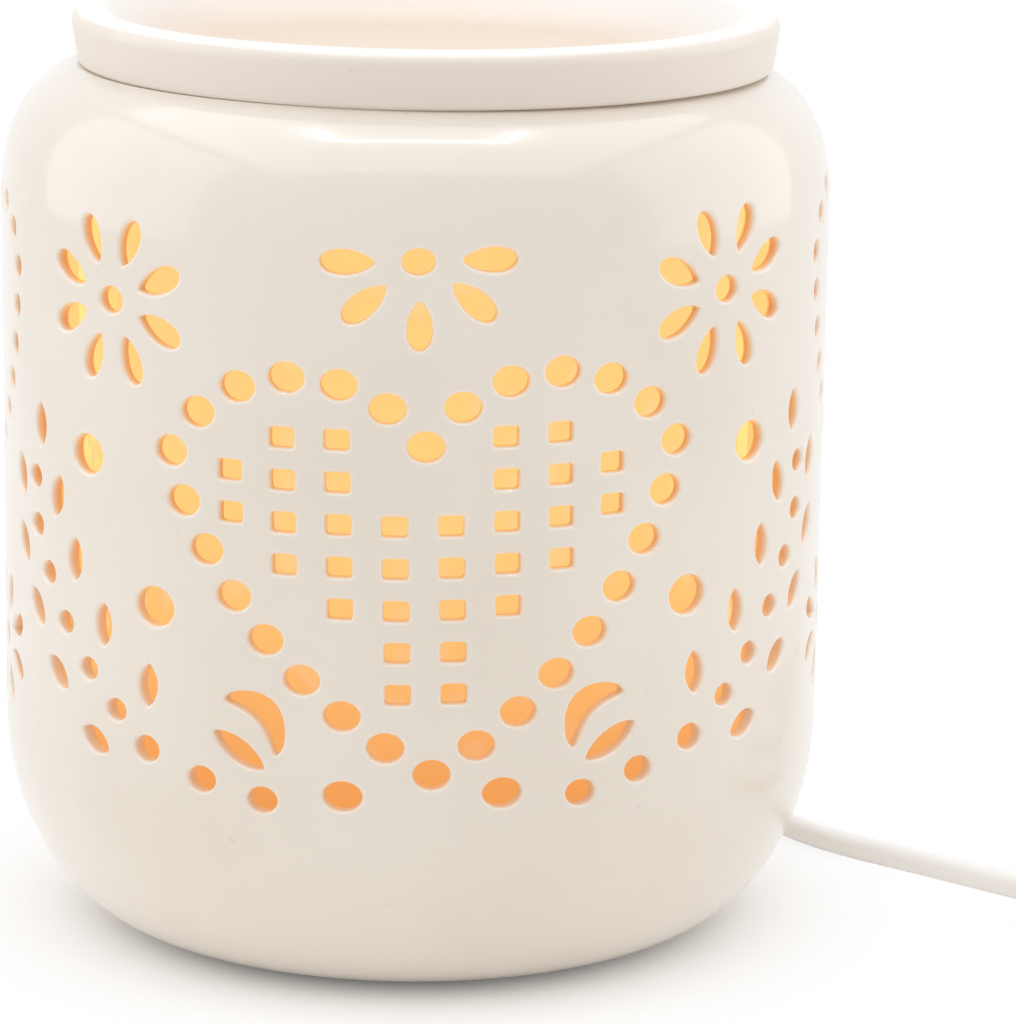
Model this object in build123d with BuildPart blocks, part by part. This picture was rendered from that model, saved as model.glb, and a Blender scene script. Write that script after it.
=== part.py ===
"""Electric aroma burner: a pierced ceramic jar with a lift-off dish, a reflector lamp and a mains lead.

Lengths are in millimetres. The jar stands on the floor at Z = 0 with its axis on Z and its pierced front
panel towards -Y. The lead leaves low at the rear, runs round to the right and ends in a coil and a plug.
"""
import math
import os

from build123d import *

os.makedirs("parts", exist_ok=True)

# Jar
body_radius = 70.0
wall = 2.6
foot_lift = 1.0
corner_rise = 35.4
corner_steps = 4
inner_corner_steps = 3
shoulder_drop = 22.5
shoulder_run = 20.0
shoulder_rise = 24.5
shoulder_steps = 3
inner_shoulder_steps = 2
rim_height = 147.5
rim_depth = 5.0
mouth_inset = 18.0
foot_ring_width = 3.0
recess_depth = 3.0
floor_thickness = 3.5
base_opening_radius = 36.0
base_ledge = 10.5
overrun = 4.0

# Dish
dish_overlap = 7.8
dish_height = 9.2
dish_lip_width = 6.0
dish_lip_bevel = 2.2
bowl_depth = 8.7
bowl_flank_run = 9.8
spigot_clearance = 1.5
spigot_depth = 4.0

# Pierced pattern: dots, blocks and petals, wider than tall as the jar shows them
pattern_lean = 1.5
pattern_mid_share = 0.55
heart_dot_width = 6.3
heart_dot_height = 5.0
heart_steps = 14
block_width = 4.4
block_height = 3.6
column_pitch = 9.0
row_pitch = 6.85
petal_length = 7.8
petal_width = 3.9
petal_stretch_share = 1.12
ring_width = 11.3
ring_height = 10.2
eye_width = 5.2
eye_height = 4.2
large_oval_width = 7.6
large_oval_height = 6.4
garland_dot_width = 5.0
garland_dot_height = 4.1
garland_oval_width = 6.4
garland_oval_height = 4.9
half_moon_length = 12.7
half_moon_width = 5.1
lens_length = 10.2
lens_width = 3.7
stem_dot_width = 4.6
stem_dot_height = 3.6
leaf_length = 7.0
leaf_width = 3.9
side_dot_width = 3.6
side_dot_height = 3.8
side_heart_steps = 12
side_flower_size_share = 0.84

# Outlines of the holes, as shares of their length and width
oval_shares = ((0.5, -0.26), (0.5, 0.26), (0.0, 0.54), (-0.5, 0.26), (-0.5, -0.26), (0.0, -0.54))
block_shares = ((0.5, -0.5), (0.5, 0.5), (-0.5, 0.5), (-0.5, -0.5))
petal_shares = ((-0.5, 0.0), (0.1, -0.5), (0.5, -0.2), (0.5, 0.2), (0.1, 0.5))
leaf_shares = ((-0.5, 0.0), (0.0, -0.5), (0.5, 0.0), (0.0, 0.5))
half_moon_shares = ((-0.5, -0.5), (0.0, -0.2), (0.5, -0.5), (0.3, 0.2), (0.0, 0.5), (-0.3, 0.2))

# Places on the panel: across as a share of the jar's radius, up as a share of its height above the foot
heart_shares = ((0.0, 0.649), (0.3, 0.724), (0.6, 0.628), (0.42, 0.463), (0.0, 0.284))
block_top_share = 0.655
block_rows = {0.5: (2, 7), 1.5: (0, 5), 2.5: (0, 4), 3.5: (1, 3)}
half_flower_share = (0.0, 0.85)
flower_share = (0.776, 0.79)
large_oval_shares = ((0.877, 0.612), (0.662, 0.455))
garland_dot_shares = ((0.684, 0.291), (0.529, 0.267), (0.375, 0.251))
garland_oval_share = (0.184, 0.26)
half_moon_share = (0.391, 0.343)
lens_share = (0.443, 0.305)
stem_dot_shares = (
    (1.123, 0.567), (1.116, 0.512), (1.056, 0.462), (0.979, 0.412), (0.887, 0.367), (0.791, 0.328),
)
front_leaf_shares = ((1.089, 0.629), (1.009, 0.554), (0.934, 0.488), (0.829, 0.422), (0.687, 0.364))
rear_leaf_shares = ((1.214, 0.561), (1.203, 0.483), (1.12, 0.416), (1.017, 0.35), (0.867, 0.287))
side_flower_share = (1.41, 0.352)
half_flower_angles = (0, -40, -90, -140, -180)
flower_angles = [22.5 + 45 * k for k in range(8)]
half_moon_turn = 43.0
lens_turn = 31.0
front_leaf_turns = (88, 104, 92, 92, 94)
rear_leaf_turns = (76, 62, 48, 34, 20)

# Small heart of dots on each side of the jar, with its places across counted from the side's own middle
side_heart_shares = ((0.0, 0.79), (0.2, 0.865), (0.325, 0.755), (0.22, 0.625), (0.0, 0.535))

# Base plate, feet and clamp bar
plate_clearance = 0.5
plate_thickness = 1.5
vent_count = 8
vent_bridge = 5.3
vent_width = 3.0
vent_inset = 24.5
foot_pad_radius = 6.0
foot_pad_inset = 11.5
foot_pad_count = 4
bar_width = 14.0
bar_thickness = 1.5
bar_overlap = 5.0
bar_corner = 2.0
base_screw_inset = 8.0
base_screw_radius = 1.95
base_screw_head_radius = 3.6
base_screw_head_height = 2.0
base_screw_tip = 3.0
hole_clearance = 0.1

# Lamp holder on its bracket
holder_seat = 39.0
bracket_thickness = 1.2
bracket_half_span = 15.0
bracket_screw_gap = 4.0
bracket_wire_hole_radius = 6.0
small_screw_radius = 1.45
small_screw_head_radius = 2.7
small_screw_head_height = 1.8
holder_length = 34.0
holder_width = 20.0
holder_corner = 6.0
holder_height = 16.0
holder_screw_spacing = 25.0
holder_screw_sink = 3.0
holder_cover = 2.5
holder_cavity_depth = 8.6
holder_cavity_length = 17.0
holder_cavity_width = 12.0
holder_running_gap = 0.4
pin_circle = 10.0
pin_radius = 1.6
pin_head_radius = 2.5
pin_head_height = 2.2
pin_length = 7.2
twist_angle = 24.0
pin_angles = (0, 180)
slot_end_angle = 4.0
contact_length = 4.0
contact_width = 2.4
contact_height = 1.0

# Reflector lamp
lamp_gap = 0.4
cap_radius = 12.0
cap_height = 14.0
reflector_front_radius = 25.0
reflector_height = 33.0
reflector_thickness = 1.6
reflector_rim = 5.0
front_glass_thickness = 2.0
front_glass_inset = 1.2
front_glass_radius = 23.0
capsule_radius = 5.0
capsule_height = 22.0
capsule_foot_radius = 3.6
capsule_foot_height = 6.0

# Wiring inside the jar
lead_height = 12.0
terminal_length = 18.0
terminal_bar_gap = 3.0
terminal_height = 13.0
terminal_grip_gap = 3.0
terminal_round = 1.0
wire_radius = 0.9
wire_spread = 4.0
wire_bend_share = 0.5
grip_length = 20.0
grip_depth = 7.0
grip_height = 13.0
grip_clearance = 2.0
grip_round = 1.0

# Grommet in the rear wall, and the mains lead
cord_diameter = 4.4
cord_sides = 6
bend_share = 0.45
grommet_hole_radius = 4.2
grommet_clearance = 0.1
grommet_neck_length = 16.8
grommet_collar_gap = 0.4
grommet_collar_radius = 5.6
grommet_collar_width = 2.4
grommet_tail_length = 7.8
grommet_tail_radius = 3.6
cord_route = (
    (0.0, 66.0, 12.0),
    (0.0, 83.5, 12.0),
    (9.8, 98.1, 8.8),
    (26.2, 104.7, 4.6),
    (43.4, 101.0, 2.25),
    (55.6, 88.4, 2.25),
    (58.9, 70.9, 2.25),
    (63.2, 55.0, 2.25),
    (71.0, 31.0, 2.25),
    (97.0, 5.0, 3.2),
    (122.0, -18.6, 3.2),
)

# Coil of the lead, its tie and the plug
coil_outer_radius = 33.5
coil_pitch = 4.95
coil_layer_step = 4.95
coil_rounds = 7
coil_climb_turns = 0.5
coil_steps_a_turn = 4
coil_points_a_turn = 48
coil_lead_in = 5.0
coil_lead_out = 22.0
tie_thickness = 0.7
tie_gap = 0.3
tie_width = 6.0
tie_angle = 100.0
sleeve_length = 24.0
sleeve_gap = 0.05
sleeve_sides = 12
sleeve_root_radius = 4.6
sleeve_tip_radius = 3.0
plug_width = 35.3
plug_neck_width = 18.0
plug_length = 36.0
plug_shoulder_share = 0.45
plug_bevel = 2.5
plug_pin_radius = 2.0
plug_pin_length = 19.0
plug_pin_spacing = 19.0

# Derived heights and radii
foot_radius = base_opening_radius + base_ledge
corner_run = body_radius - foot_radius
corner_top = foot_lift + corner_rise
floor_under = foot_lift + recess_depth
floor_top = floor_under + floor_thickness
shoulder_centre = body_radius - shoulder_run
shoulder_start = rim_height - shoulder_drop
mouth_radius = body_radius - mouth_inset
dish_radius = mouth_radius + dish_overlap
bowl_floor_radius = dish_radius - dish_lip_width - bowl_flank_run
foot_pad_circle_radius = foot_radius - foot_pad_inset
vent_circle_radius = foot_radius - vent_inset
vent_length = 2 * math.pi * vent_circle_radius / vent_count - vent_bridge
base_screw_spacing = 2 * (base_opening_radius - base_screw_inset)
panel_height = rim_height - foot_lift
plate_under = floor_under - plate_thickness
bar_top = floor_top + bar_thickness
holder_top = holder_seat + holder_height
cap_under = holder_top + lamp_gap
cap_top = cap_under + cap_height
front_height = cap_top + reflector_height
cord_radius = cord_diameter / 2
dish_top = rim_height + dish_height
grip_start = base_opening_radius - grip_clearance - grip_depth
terminal_start = bar_width / 2 + terminal_bar_gap
terminal_depth = grip_start - terminal_grip_gap - terminal_start
collar_depth = (corner_top - lead_height - grommet_collar_radius) / corner_rise
grommet_collar = foot_radius + corner_run * math.sqrt(1 - collar_depth**2) + grommet_collar_gap
grommet_inside = grommet_collar - grommet_neck_length
grommet_end = grommet_collar + grommet_collar_width + grommet_tail_length


def jar_profile(inset, corner_parts, shoulder_parts):
    """Half outline of the jar, set in by a wall: an oval corner, an upright side and an oval shoulder."""
    points = [(0, foot_lift + inset)]
    reach, rise = corner_run - inset, corner_rise - inset
    for step in range(corner_parts + 1):
        turn = math.pi / 2 * step / corner_parts
        points.append((foot_radius + reach * math.sin(turn), corner_top - rise * math.cos(turn)))
    reach, rise = shoulder_run - inset, shoulder_rise - inset
    for step in range(shoulder_parts + 1):
        turn = math.pi / 2 * step / shoulder_parts
        points.append((shoulder_centre + reach * math.cos(turn), shoulder_start + rise * math.sin(turn)))
    return points + [(0, points[-1][1])]


def outline(shares, length, width, angle=0):
    """Corners of a hole about its centre, turned by an angle in degrees."""
    c, s = math.cos(math.radians(angle)), math.sin(math.radians(angle))
    points = [(x * length, y * width) for x, y in shares]
    return [(c * x - s * y, s * x + c * y) for x, y in points]


def heart_places(shares, steps):
    """Evenly spaced places from the dip of a heart, over one lobe, to its tip."""
    dip, lobe, cheek, flank, tip = [panel_place(share) for share in shares]
    with BuildLine() as half_heart:
        ThreePointArc(dip, lobe, cheek)
        ThreePointArc(cheek, flank, tip)
    path = half_heart.wire()
    step = path.length / steps
    spots = [path.position_at(step * count, PositionMode.LENGTH) for count in range(steps + 1)]
    return [(spot.X, spot.Y) for spot in spots]


def panel_place(share):
    """Distance across the panel and height above the foot, from shares."""
    return share[0] * body_radius, share[1] * panel_height


def both_sides(place, shape):
    """A hole and its mirror image across the panel's centre line."""
    across, up = place
    return [(across, up, shape), (-across, up, [(-x, y) for x, y in reversed(shape)])]


def flower(place, angles, size_share=1):
    """Holes of a flower: petals round an eye, with the petals that lie flat a little longer."""
    across, up = place
    holes = [(across, up, outline(oval_shares, eye_width * size_share, eye_height * size_share))]
    for angle in angles:
        c, s = math.cos(math.radians(angle)), math.sin(math.radians(angle))
        length = petal_length * size_share * (petal_stretch_share if abs(c) > abs(s) else 1)
        drop = outline(petal_shares, length, petal_width * size_share, angle)
        holes.append((across + ring_width * size_share * c, up + ring_height * size_share * s, drop))
    return holes


def sprig_holes():
    """Holes of the sprigs beside the panel: a stem of dots between two rows of leaves."""
    stem_dot = outline(oval_shares, stem_dot_width, stem_dot_height)
    holes = []
    for share in stem_dot_shares:
        holes += both_sides(panel_place(share), stem_dot)
    for shares, turns in ((front_leaf_shares, front_leaf_turns), (rear_leaf_shares, rear_leaf_turns)):
        for share, turn in zip(shares, turns):
            holes += both_sides(panel_place(share), outline(leaf_shares, leaf_length, leaf_width, turn))
    return holes


def side_holes():
    """Holes at each side of the jar: a small heart of dots, and a flower between it and the sprig."""
    side_dot = outline(oval_shares, side_dot_width, side_dot_height)
    middle = math.pi / 2 * body_radius
    holes = []
    places = heart_places(side_heart_shares, side_heart_steps)
    for offset, up in places:
        holes += both_sides((middle - offset, up), side_dot)
    for offset, up in places[1:-1]:
        holes += both_sides((middle + offset, up), side_dot)
    across, up = panel_place(side_flower_share)
    for side in (across, -across):
        holes += flower((side, up), flower_angles, side_flower_size_share)
    return holes


def panel_holes():
    """Places and outlines of the front panel's holes: heart, blocks, flowers, ovals and garland."""
    heart_dot = outline(oval_shares, heart_dot_width, heart_dot_height)
    window = outline(block_shares, block_width, block_height)
    places = heart_places(heart_shares, heart_steps)
    holes = [(*places[0], heart_dot), (*places[-1], heart_dot)]
    for place in places[1:-1]:
        holes += both_sides(place, heart_dot)
    for column, (first, last) in block_rows.items():
        for row in range(first, last):
            place = (column * column_pitch, block_top_share * panel_height - row * row_pitch)
            holes += both_sides(place, window)
    holes += flower(panel_place(half_flower_share), half_flower_angles)
    across, up = panel_place(flower_share)
    for side in (across, -across):
        holes += flower((side, up), flower_angles)
    large_oval = outline(oval_shares, large_oval_width, large_oval_height)
    garland_dot = outline(oval_shares, garland_dot_width, garland_dot_height)
    garland_oval = outline(oval_shares, garland_oval_width, garland_oval_height)
    half_moon = outline(half_moon_shares, half_moon_length, half_moon_width, half_moon_turn)
    lens = outline(leaf_shares, lens_length, lens_width, lens_turn)
    pairs = [(share, large_oval) for share in large_oval_shares]
    pairs += [(share, garland_dot) for share in garland_dot_shares]
    pairs += [(garland_oval_share, garland_oval), (half_moon_share, half_moon), (lens_share, lens)]
    for share, shape in pairs:
        holes += both_sides(panel_place(share), shape)
    return holes


def wall_plane(across, up):
    """Plane just inside the jar's wall, facing outwards, for a place on the panel."""
    lean = math.radians(pattern_lean)
    angle = across / body_radius
    raised = foot_lift + up + lean * body_radius * math.sin(angle)
    angle -= lean * (up - pattern_mid_share * panel_height) * math.cos(angle) / body_radius
    outward = Vector(math.sin(angle), -math.cos(angle), 0)
    start = outward * (body_radius - wall - overrun) + Vector(0, 0, raised)
    return Plane(origin=start, x_dir=(math.cos(angle), math.sin(angle), 0), z_dir=outward)


# Inside of the jar
with BuildPart() as jar_cavity:
    with BuildSketch(Plane.XZ):
        with BuildLine():
            Polyline(*jar_profile(wall, inner_corner_steps, inner_shoulder_steps), close=True)
        make_face()
    revolve(axis=Axis.Z)
    split(bisect_by=Plane.XY.offset(floor_top), keep=Keep.TOP)
    split(bisect_by=Plane.XY.offset(rim_height - rim_depth), keep=Keep.BOTTOM)

# Jar body with its mouth, base recess, lead hole and pierced pattern
with BuildPart() as body_shell:
    with BuildSketch(Plane.XZ):
        with BuildLine():
            Polyline(*jar_profile(0, corner_steps, shoulder_steps), close=True)
        make_face()
    revolve(axis=Axis.Z)
    split(bisect_by=Plane.XY.offset(rim_height), keep=Keep.BOTTOM)
    add(jar_cavity.part, mode=Mode.SUBTRACT)
    with BuildSketch(Plane.XY.offset(rim_height)):
        Circle(mouth_radius)
    extrude(amount=-(rim_depth + overrun), mode=Mode.SUBTRACT)
    with BuildSketch(Plane.XY.offset(foot_lift)):
        Circle(foot_radius - foot_ring_width)
    extrude(amount=recess_depth, mode=Mode.SUBTRACT)
    with BuildSketch(Plane.XY.offset(foot_lift)):
        Circle(base_opening_radius)
    extrude(amount=floor_top, mode=Mode.SUBTRACT)
    with BuildSketch(Plane.XZ.offset(-grommet_inside)):
        with Locations((0, lead_height)):
            Circle(grommet_hole_radius)
    extrude(amount=-(body_radius - grommet_inside), mode=Mode.SUBTRACT)
    for across, up, corners in panel_holes() + sprig_holes() + side_holes():
        with BuildSketch(wall_plane(across, up)):
            Polygon(*corners, align=None)
    extrude(amount=wall + overrun + overrun, mode=Mode.SUBTRACT)
body_shell.part.label = "body_shell"
export_step(body_shell.part, "parts/body_shell.step")

# Lift-off dish with a spigot that sits in the mouth
with BuildPart() as dish:
    with BuildSketch(Plane.XZ):
        with BuildLine():
            Polyline(
                (0, rim_height - spigot_depth),
                (mouth_radius - spigot_clearance, rim_height - spigot_depth),
                (mouth_radius - spigot_clearance, rim_height),
                (dish_radius, rim_height),
                (dish_radius, dish_top - dish_lip_bevel),
                (dish_radius - dish_lip_bevel, dish_top),
                (dish_radius - dish_lip_width, dish_top),
                (bowl_floor_radius, dish_top - bowl_depth),
                (0, dish_top - bowl_depth),
                close=True,
            )
        make_face()
    revolve(axis=Axis.Z)
dish.part.label = "dish"
export_step(dish.part, "parts/dish.step")

# Base plate with vents and screw holes
with BuildPart() as base_plate:
    with BuildSketch(Plane.XY.offset(plate_under)):
        Circle(foot_radius - foot_ring_width - plate_clearance)
        with PolarLocations(vent_circle_radius, vent_count, start_angle=180 / vent_count):
            Rectangle(vent_width, vent_length, mode=Mode.SUBTRACT)
        with GridLocations(base_screw_spacing, 0, 2, 1):
            Circle(base_screw_radius + hole_clearance, mode=Mode.SUBTRACT)
    extrude(amount=plate_thickness)
base_plate.part.label = "base_plate"
export_step(base_plate.part, "parts/base_plate.step")

# Rubber feet
with BuildPart() as base_feet:
    with BuildSketch():
        with PolarLocations(foot_pad_circle_radius, foot_pad_count, start_angle=180 / foot_pad_count):
            Circle(foot_pad_radius)
    extrude(amount=plate_under)
base_feet.part.label = "base_feet"
export_step(base_feet.part, "parts/base_feet.step")

# Clamp bar across the opening inside the jar
with BuildPart() as clamp_bar:
    with BuildSketch(Plane.XY.offset(floor_top)):
        RectangleRounded(2 * (base_opening_radius + bar_overlap), bar_width, bar_corner)
        with GridLocations(base_screw_spacing, 0, 2, 1):
            Circle(base_screw_radius + hole_clearance, mode=Mode.SUBTRACT)
    extrude(amount=bar_thickness)
clamp_bar.part.label = "clamp_bar"
export_step(clamp_bar.part, "parts/clamp_bar.step")

# Screws that draw the plate up to the bar
with BuildPart() as base_screws:
    with BuildSketch(Plane.XY.offset(plate_under)):
        with GridLocations(base_screw_spacing, 0, 2, 1):
            Circle(base_screw_head_radius)
    extrude(amount=-base_screw_head_height)
    with BuildSketch(Plane.XY.offset(plate_under)):
        with GridLocations(base_screw_spacing, 0, 2, 1):
            Circle(base_screw_radius)
    extrude(amount=bar_top + base_screw_tip - plate_under)
base_screws.part.label = "base_screws"
export_step(base_screws.part, "parts/base_screws.step")

# Hat-shaped bracket that carries the lamp holder
with BuildPart() as holder_bracket:
    foot_end = base_screw_spacing / 2 - bracket_screw_gap
    bracket_top = holder_seat - bracket_thickness
    bracket_side = bracket_half_span - bracket_thickness
    foot_face = bar_top + bracket_thickness
    with BuildSketch(Plane.XZ.offset(-bar_width / 2)):
        with BuildLine():
            Polyline(
                (-foot_end, bar_top),
                (-bracket_side, bar_top),
                (-bracket_side, bracket_top),
                (bracket_side, bracket_top),
                (bracket_side, bar_top),
                (foot_end, bar_top),
                (foot_end, foot_face),
                (bracket_half_span, foot_face),
                (bracket_half_span, holder_seat),
                (-bracket_half_span, holder_seat),
                (-bracket_half_span, foot_face),
                (-foot_end, foot_face),
                close=True,
            )
        make_face()
    extrude(amount=bar_width)
    with BuildSketch(Plane.XY.offset(holder_seat)):
        Circle(bracket_wire_hole_radius)
        with GridLocations(holder_screw_spacing, 0, 2, 1):
            Circle(small_screw_radius + hole_clearance)
    extrude(amount=-bracket_thickness, mode=Mode.SUBTRACT)
holder_bracket.part.label = "holder_bracket"
export_step(holder_bracket.part, "parts/holder_bracket.step")

# Two-pin twist lamp holder
pin_ring = pin_circle / 2
slot_start = -slot_end_angle
slot_sweep = twist_angle + 2 * slot_end_angle
slot_paths = [CenterArc((0, 0), pin_ring, slot_start + turn, slot_sweep) for turn in pin_angles]
with BuildPart() as lamp_holder:
    with BuildSketch(Plane.XY.offset(holder_seat)):
        RectangleRounded(holder_length, holder_width, holder_corner)
    extrude(amount=holder_height)
    with BuildSketch(Plane.XY.offset(holder_top - holder_cavity_depth)):
        Rectangle(holder_cavity_length, holder_cavity_width)
    extrude(amount=holder_cavity_depth - holder_cover, mode=Mode.SUBTRACT)
    with BuildSketch(Plane.XY.offset(holder_top)):
        for path in slot_paths:
            SlotArc(path, 2 * (pin_radius + holder_running_gap))
        with PolarLocations(pin_ring, len(pin_angles), start_angle=twist_angle):
            Circle(pin_head_radius + holder_running_gap)
    extrude(amount=-holder_cover, mode=Mode.SUBTRACT)
    with BuildSketch(Plane.XY.offset(holder_top)):
        with GridLocations(holder_screw_spacing, 0, 2, 1):
            Circle(small_screw_head_radius + hole_clearance)
    extrude(amount=-holder_screw_sink, mode=Mode.SUBTRACT)
    with BuildSketch(Plane.XY.offset(holder_top)):
        with GridLocations(holder_screw_spacing, 0, 2, 1):
            Circle(small_screw_radius + hole_clearance)
    extrude(amount=-holder_height, mode=Mode.SUBTRACT)
lamp_holder.part.label = "lamp_holder"
export_step(lamp_holder.part, "parts/lamp_holder.step")

# Screws that hold the lamp holder to its bracket
with BuildPart() as holder_screws:
    with BuildSketch(Plane.XY.offset(holder_top - holder_screw_sink)):
        with GridLocations(holder_screw_spacing, 0, 2, 1):
            Circle(small_screw_head_radius)
    extrude(amount=small_screw_head_height)
    with BuildSketch(Plane.XY.offset(holder_top - holder_screw_sink)):
        with GridLocations(holder_screw_spacing, 0, 2, 1):
            Circle(small_screw_radius)
    extrude(amount=-(holder_height - holder_screw_sink + bracket_thickness))
holder_screws.part.label = "holder_screws"
export_step(holder_screws.part, "parts/holder_screws.step")

# Contacts on the floor of the holder's cavity
with BuildPart() as holder_contacts:
    with BuildSketch(Plane.XY.offset(holder_top - holder_cavity_depth)):
        with GridLocations(pin_circle, 0, 2, 1):
            Rectangle(contact_width, contact_length)
    extrude(amount=contact_height)
holder_contacts.part.label = "holder_contacts"
export_step(holder_contacts.part, "parts/holder_contacts.step")

# Lamp cap
with BuildPart() as lamp_cap:
    with BuildSketch(Plane.XY.offset(cap_under)):
        Circle(cap_radius)
    extrude(amount=cap_height)
lamp_cap.part.label = "lamp_cap"
export_step(lamp_cap.part, "parts/lamp_cap.step")

# Lamp pins with their wider heads
with BuildPart() as lamp_pins:
    with BuildSketch(Plane.XY.offset(cap_under)):
        with GridLocations(pin_circle, 0, 2, 1):
            Circle(pin_radius)
    extrude(amount=-pin_length)
    with BuildSketch(Plane.XY.offset(cap_under - pin_length)):
        with GridLocations(pin_circle, 0, 2, 1):
            Circle(pin_head_radius)
    extrude(amount=pin_head_height)
lamp_pins.part.label = "lamp_pins"
export_step(lamp_pins.part, "parts/lamp_pins.step")

# Reflector cup of the lamp
with BuildPart() as lamp_reflector:
    with BuildSketch(Plane.XZ):
        with BuildLine():
            Polyline(
                (cap_radius - reflector_thickness, cap_top),
                (cap_radius, cap_top),
                (reflector_front_radius, front_height - reflector_rim),
                (reflector_front_radius, front_height),
                (reflector_front_radius - reflector_thickness, front_height),
                (reflector_front_radius - reflector_thickness, front_height - reflector_rim),
                close=True,
            )
        make_face()
    revolve(axis=Axis.Z)
lamp_reflector.part.label = "lamp_reflector"
export_step(lamp_reflector.part, "parts/lamp_reflector.step")

# Front glass set in the reflector's rim
with BuildPart() as lamp_front_glass:
    glass_top = front_height - front_glass_inset
    with BuildSketch(Plane.XY.offset(glass_top - front_glass_thickness)):
        Circle(front_glass_radius)
    extrude(amount=front_glass_thickness)
lamp_front_glass.part.label = "lamp_front_glass"
export_step(lamp_front_glass.part, "parts/lamp_front_glass.step")

# Halogen capsule standing on the cap
with BuildPart() as lamp_capsule:
    with BuildSketch(Plane.XY.offset(cap_top)):
        Circle(capsule_foot_radius)
    extrude(amount=capsule_foot_height)
    with BuildSketch(Plane.XY.offset(cap_top + capsule_foot_height)):
        Circle(capsule_radius)
    extrude(amount=capsule_height - capsule_foot_height)
lamp_capsule.part.label = "lamp_capsule"
export_step(lamp_capsule.part, "parts/lamp_capsule.step")

# Terminal block on the base plate
with BuildPart() as terminal_block:
    with BuildSketch(Plane.XY.offset(floor_under)):
        with Locations((0, terminal_start + terminal_depth / 2)):
            Rectangle(terminal_length, terminal_depth)
    extrude(amount=terminal_height)
    chamfer(terminal_block.faces().sort_by(Axis.Z)[-1].edges(), terminal_round)
terminal_block.part.label = "terminal_block"
export_step(terminal_block.part, "parts/terminal_block.step")

# Lead wires from the terminal block up to the holder
with BuildPart() as lead_wires:
    for side in (-wire_spread, wire_spread):
        with BuildLine() as wire_path:
            FilletPolyline(
                (side, terminal_start, lead_height),
                (side, 0, lead_height),
                (side, 0, holder_seat),
                radius=wire_bend_share * terminal_start,
            )
        with BuildSketch(Plane(origin=wire_path.line @ 0, z_dir=wire_path.line % 0)):
            RegularPolygon(wire_radius, cord_sides)
        sweep(path=wire_path.wire())
lead_wires.part.label = "lead_wires"
export_step(lead_wires.part, "parts/lead_wires.step")

# Grip that holds the lead to the base plate
with BuildPart() as cord_grip:
    with BuildSketch(Plane.XY.offset(floor_under)):
        with Locations((0, grip_start + grip_depth / 2)):
            Rectangle(grip_length, grip_depth)
    extrude(amount=grip_height)
    chamfer(cord_grip.edges().filter_by(Axis.Y).sort_by(Axis.Z)[-2:], grip_round)
    with BuildSketch(Plane.XZ.offset(-grip_start)):
        with Locations((0, lead_height)):
            Circle(cord_radius + grommet_clearance)
    extrude(amount=-grip_depth, mode=Mode.SUBTRACT)
cord_grip.part.label = "cord_grip"
export_step(cord_grip.part, "parts/cord_grip.step")

# Inner end of the lead, from the terminal block to the grommet
with BuildPart() as supply_tail:
    with BuildSketch(Plane.XZ.offset(-(terminal_start + terminal_depth))):
        with Locations((0, lead_height)):
            RegularPolygon(cord_radius, cord_sides)
    extrude(amount=-(cord_route[0][1] - terminal_start - terminal_depth))
supply_tail.part.label = "supply_tail"
export_step(supply_tail.part, "parts/supply_tail.step")

# Grommet in the rear wall
with BuildPart() as cord_grommet:
    bore_radius = cord_radius + grommet_clearance
    neck_radius = grommet_hole_radius - grommet_clearance
    with BuildSketch(Plane.YZ):
        with BuildLine():
            Polyline(
                (grommet_inside, lead_height + bore_radius),
                (grommet_inside, lead_height + neck_radius),
                (grommet_collar, lead_height + neck_radius),
                (grommet_collar, lead_height + grommet_collar_radius),
                (grommet_collar + grommet_collar_width, lead_height + grommet_collar_radius),
                (grommet_collar + grommet_collar_width, lead_height + grommet_tail_radius),
                (grommet_end, lead_height + grommet_tail_radius),
                (grommet_end, lead_height + bore_radius),
                close=True,
            )
        make_face()
    revolve(axis=Axis((0, 0, lead_height), (0, 1, 0)))
cord_grommet.part.label = "cord_grommet"
export_step(cord_grommet.part, "parts/cord_grommet.step")

# Free run of the lead, from the grommet to the coil
route_runs = [(Vector(b) - Vector(a)) for a, b in zip(cord_route, cord_route[1:])]
route_bends = []
for before, after in zip(route_runs, route_runs[1:]):
    half_turn = math.radians(before.get_angle(after)) / 2
    route_bends.append(bend_share * min(before.length, after.length) / math.tan(half_turn))
print("lead bend radii", [round(bend, 1) for bend in route_bends])
with BuildPart() as power_cord:
    with BuildLine() as cord_path:
        FilletPolyline(*cord_route, radius=route_bends)
    with BuildSketch(Plane(origin=cord_path.line @ 0, z_dir=cord_path.line % 0)):
        RegularPolygon(cord_radius, cord_sides)
    sweep(path=cord_path.wire())
power_cord.part.label = "power_cord"
export_step(power_cord.part, "parts/power_cord.step")
cord_area = cord_sides / 2 * cord_radius**2 * math.sin(2 * math.pi / cord_sides)
print("lead run", cord_path.wire().length, power_cord.part.volume / (cord_area * cord_path.wire().length))

# Coil of the lead: in on the lower layer, up within half a turn, and out on the upper layer
entry_heading = math.atan2(route_runs[-1].Y, route_runs[-1].X)
entry_angle = (entry_heading - math.pi / 2) % (2 * math.pi)
coil_turns = coil_rounds - entry_angle / (2 * math.pi)
layer_turns = (coil_turns - coil_climb_turns) / 2
coil_inner_radius = coil_outer_radius - coil_pitch * layer_turns
entry_way = Vector(math.cos(entry_heading), math.sin(entry_heading), 0)
entry_point = Vector(cord_route[-1])
spiral_start = entry_point + entry_way * coil_lead_in
entry_spoke = Vector(math.cos(entry_angle), math.sin(entry_angle), 0)
coil_centre = spiral_start - entry_spoke * coil_outer_radius


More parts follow.
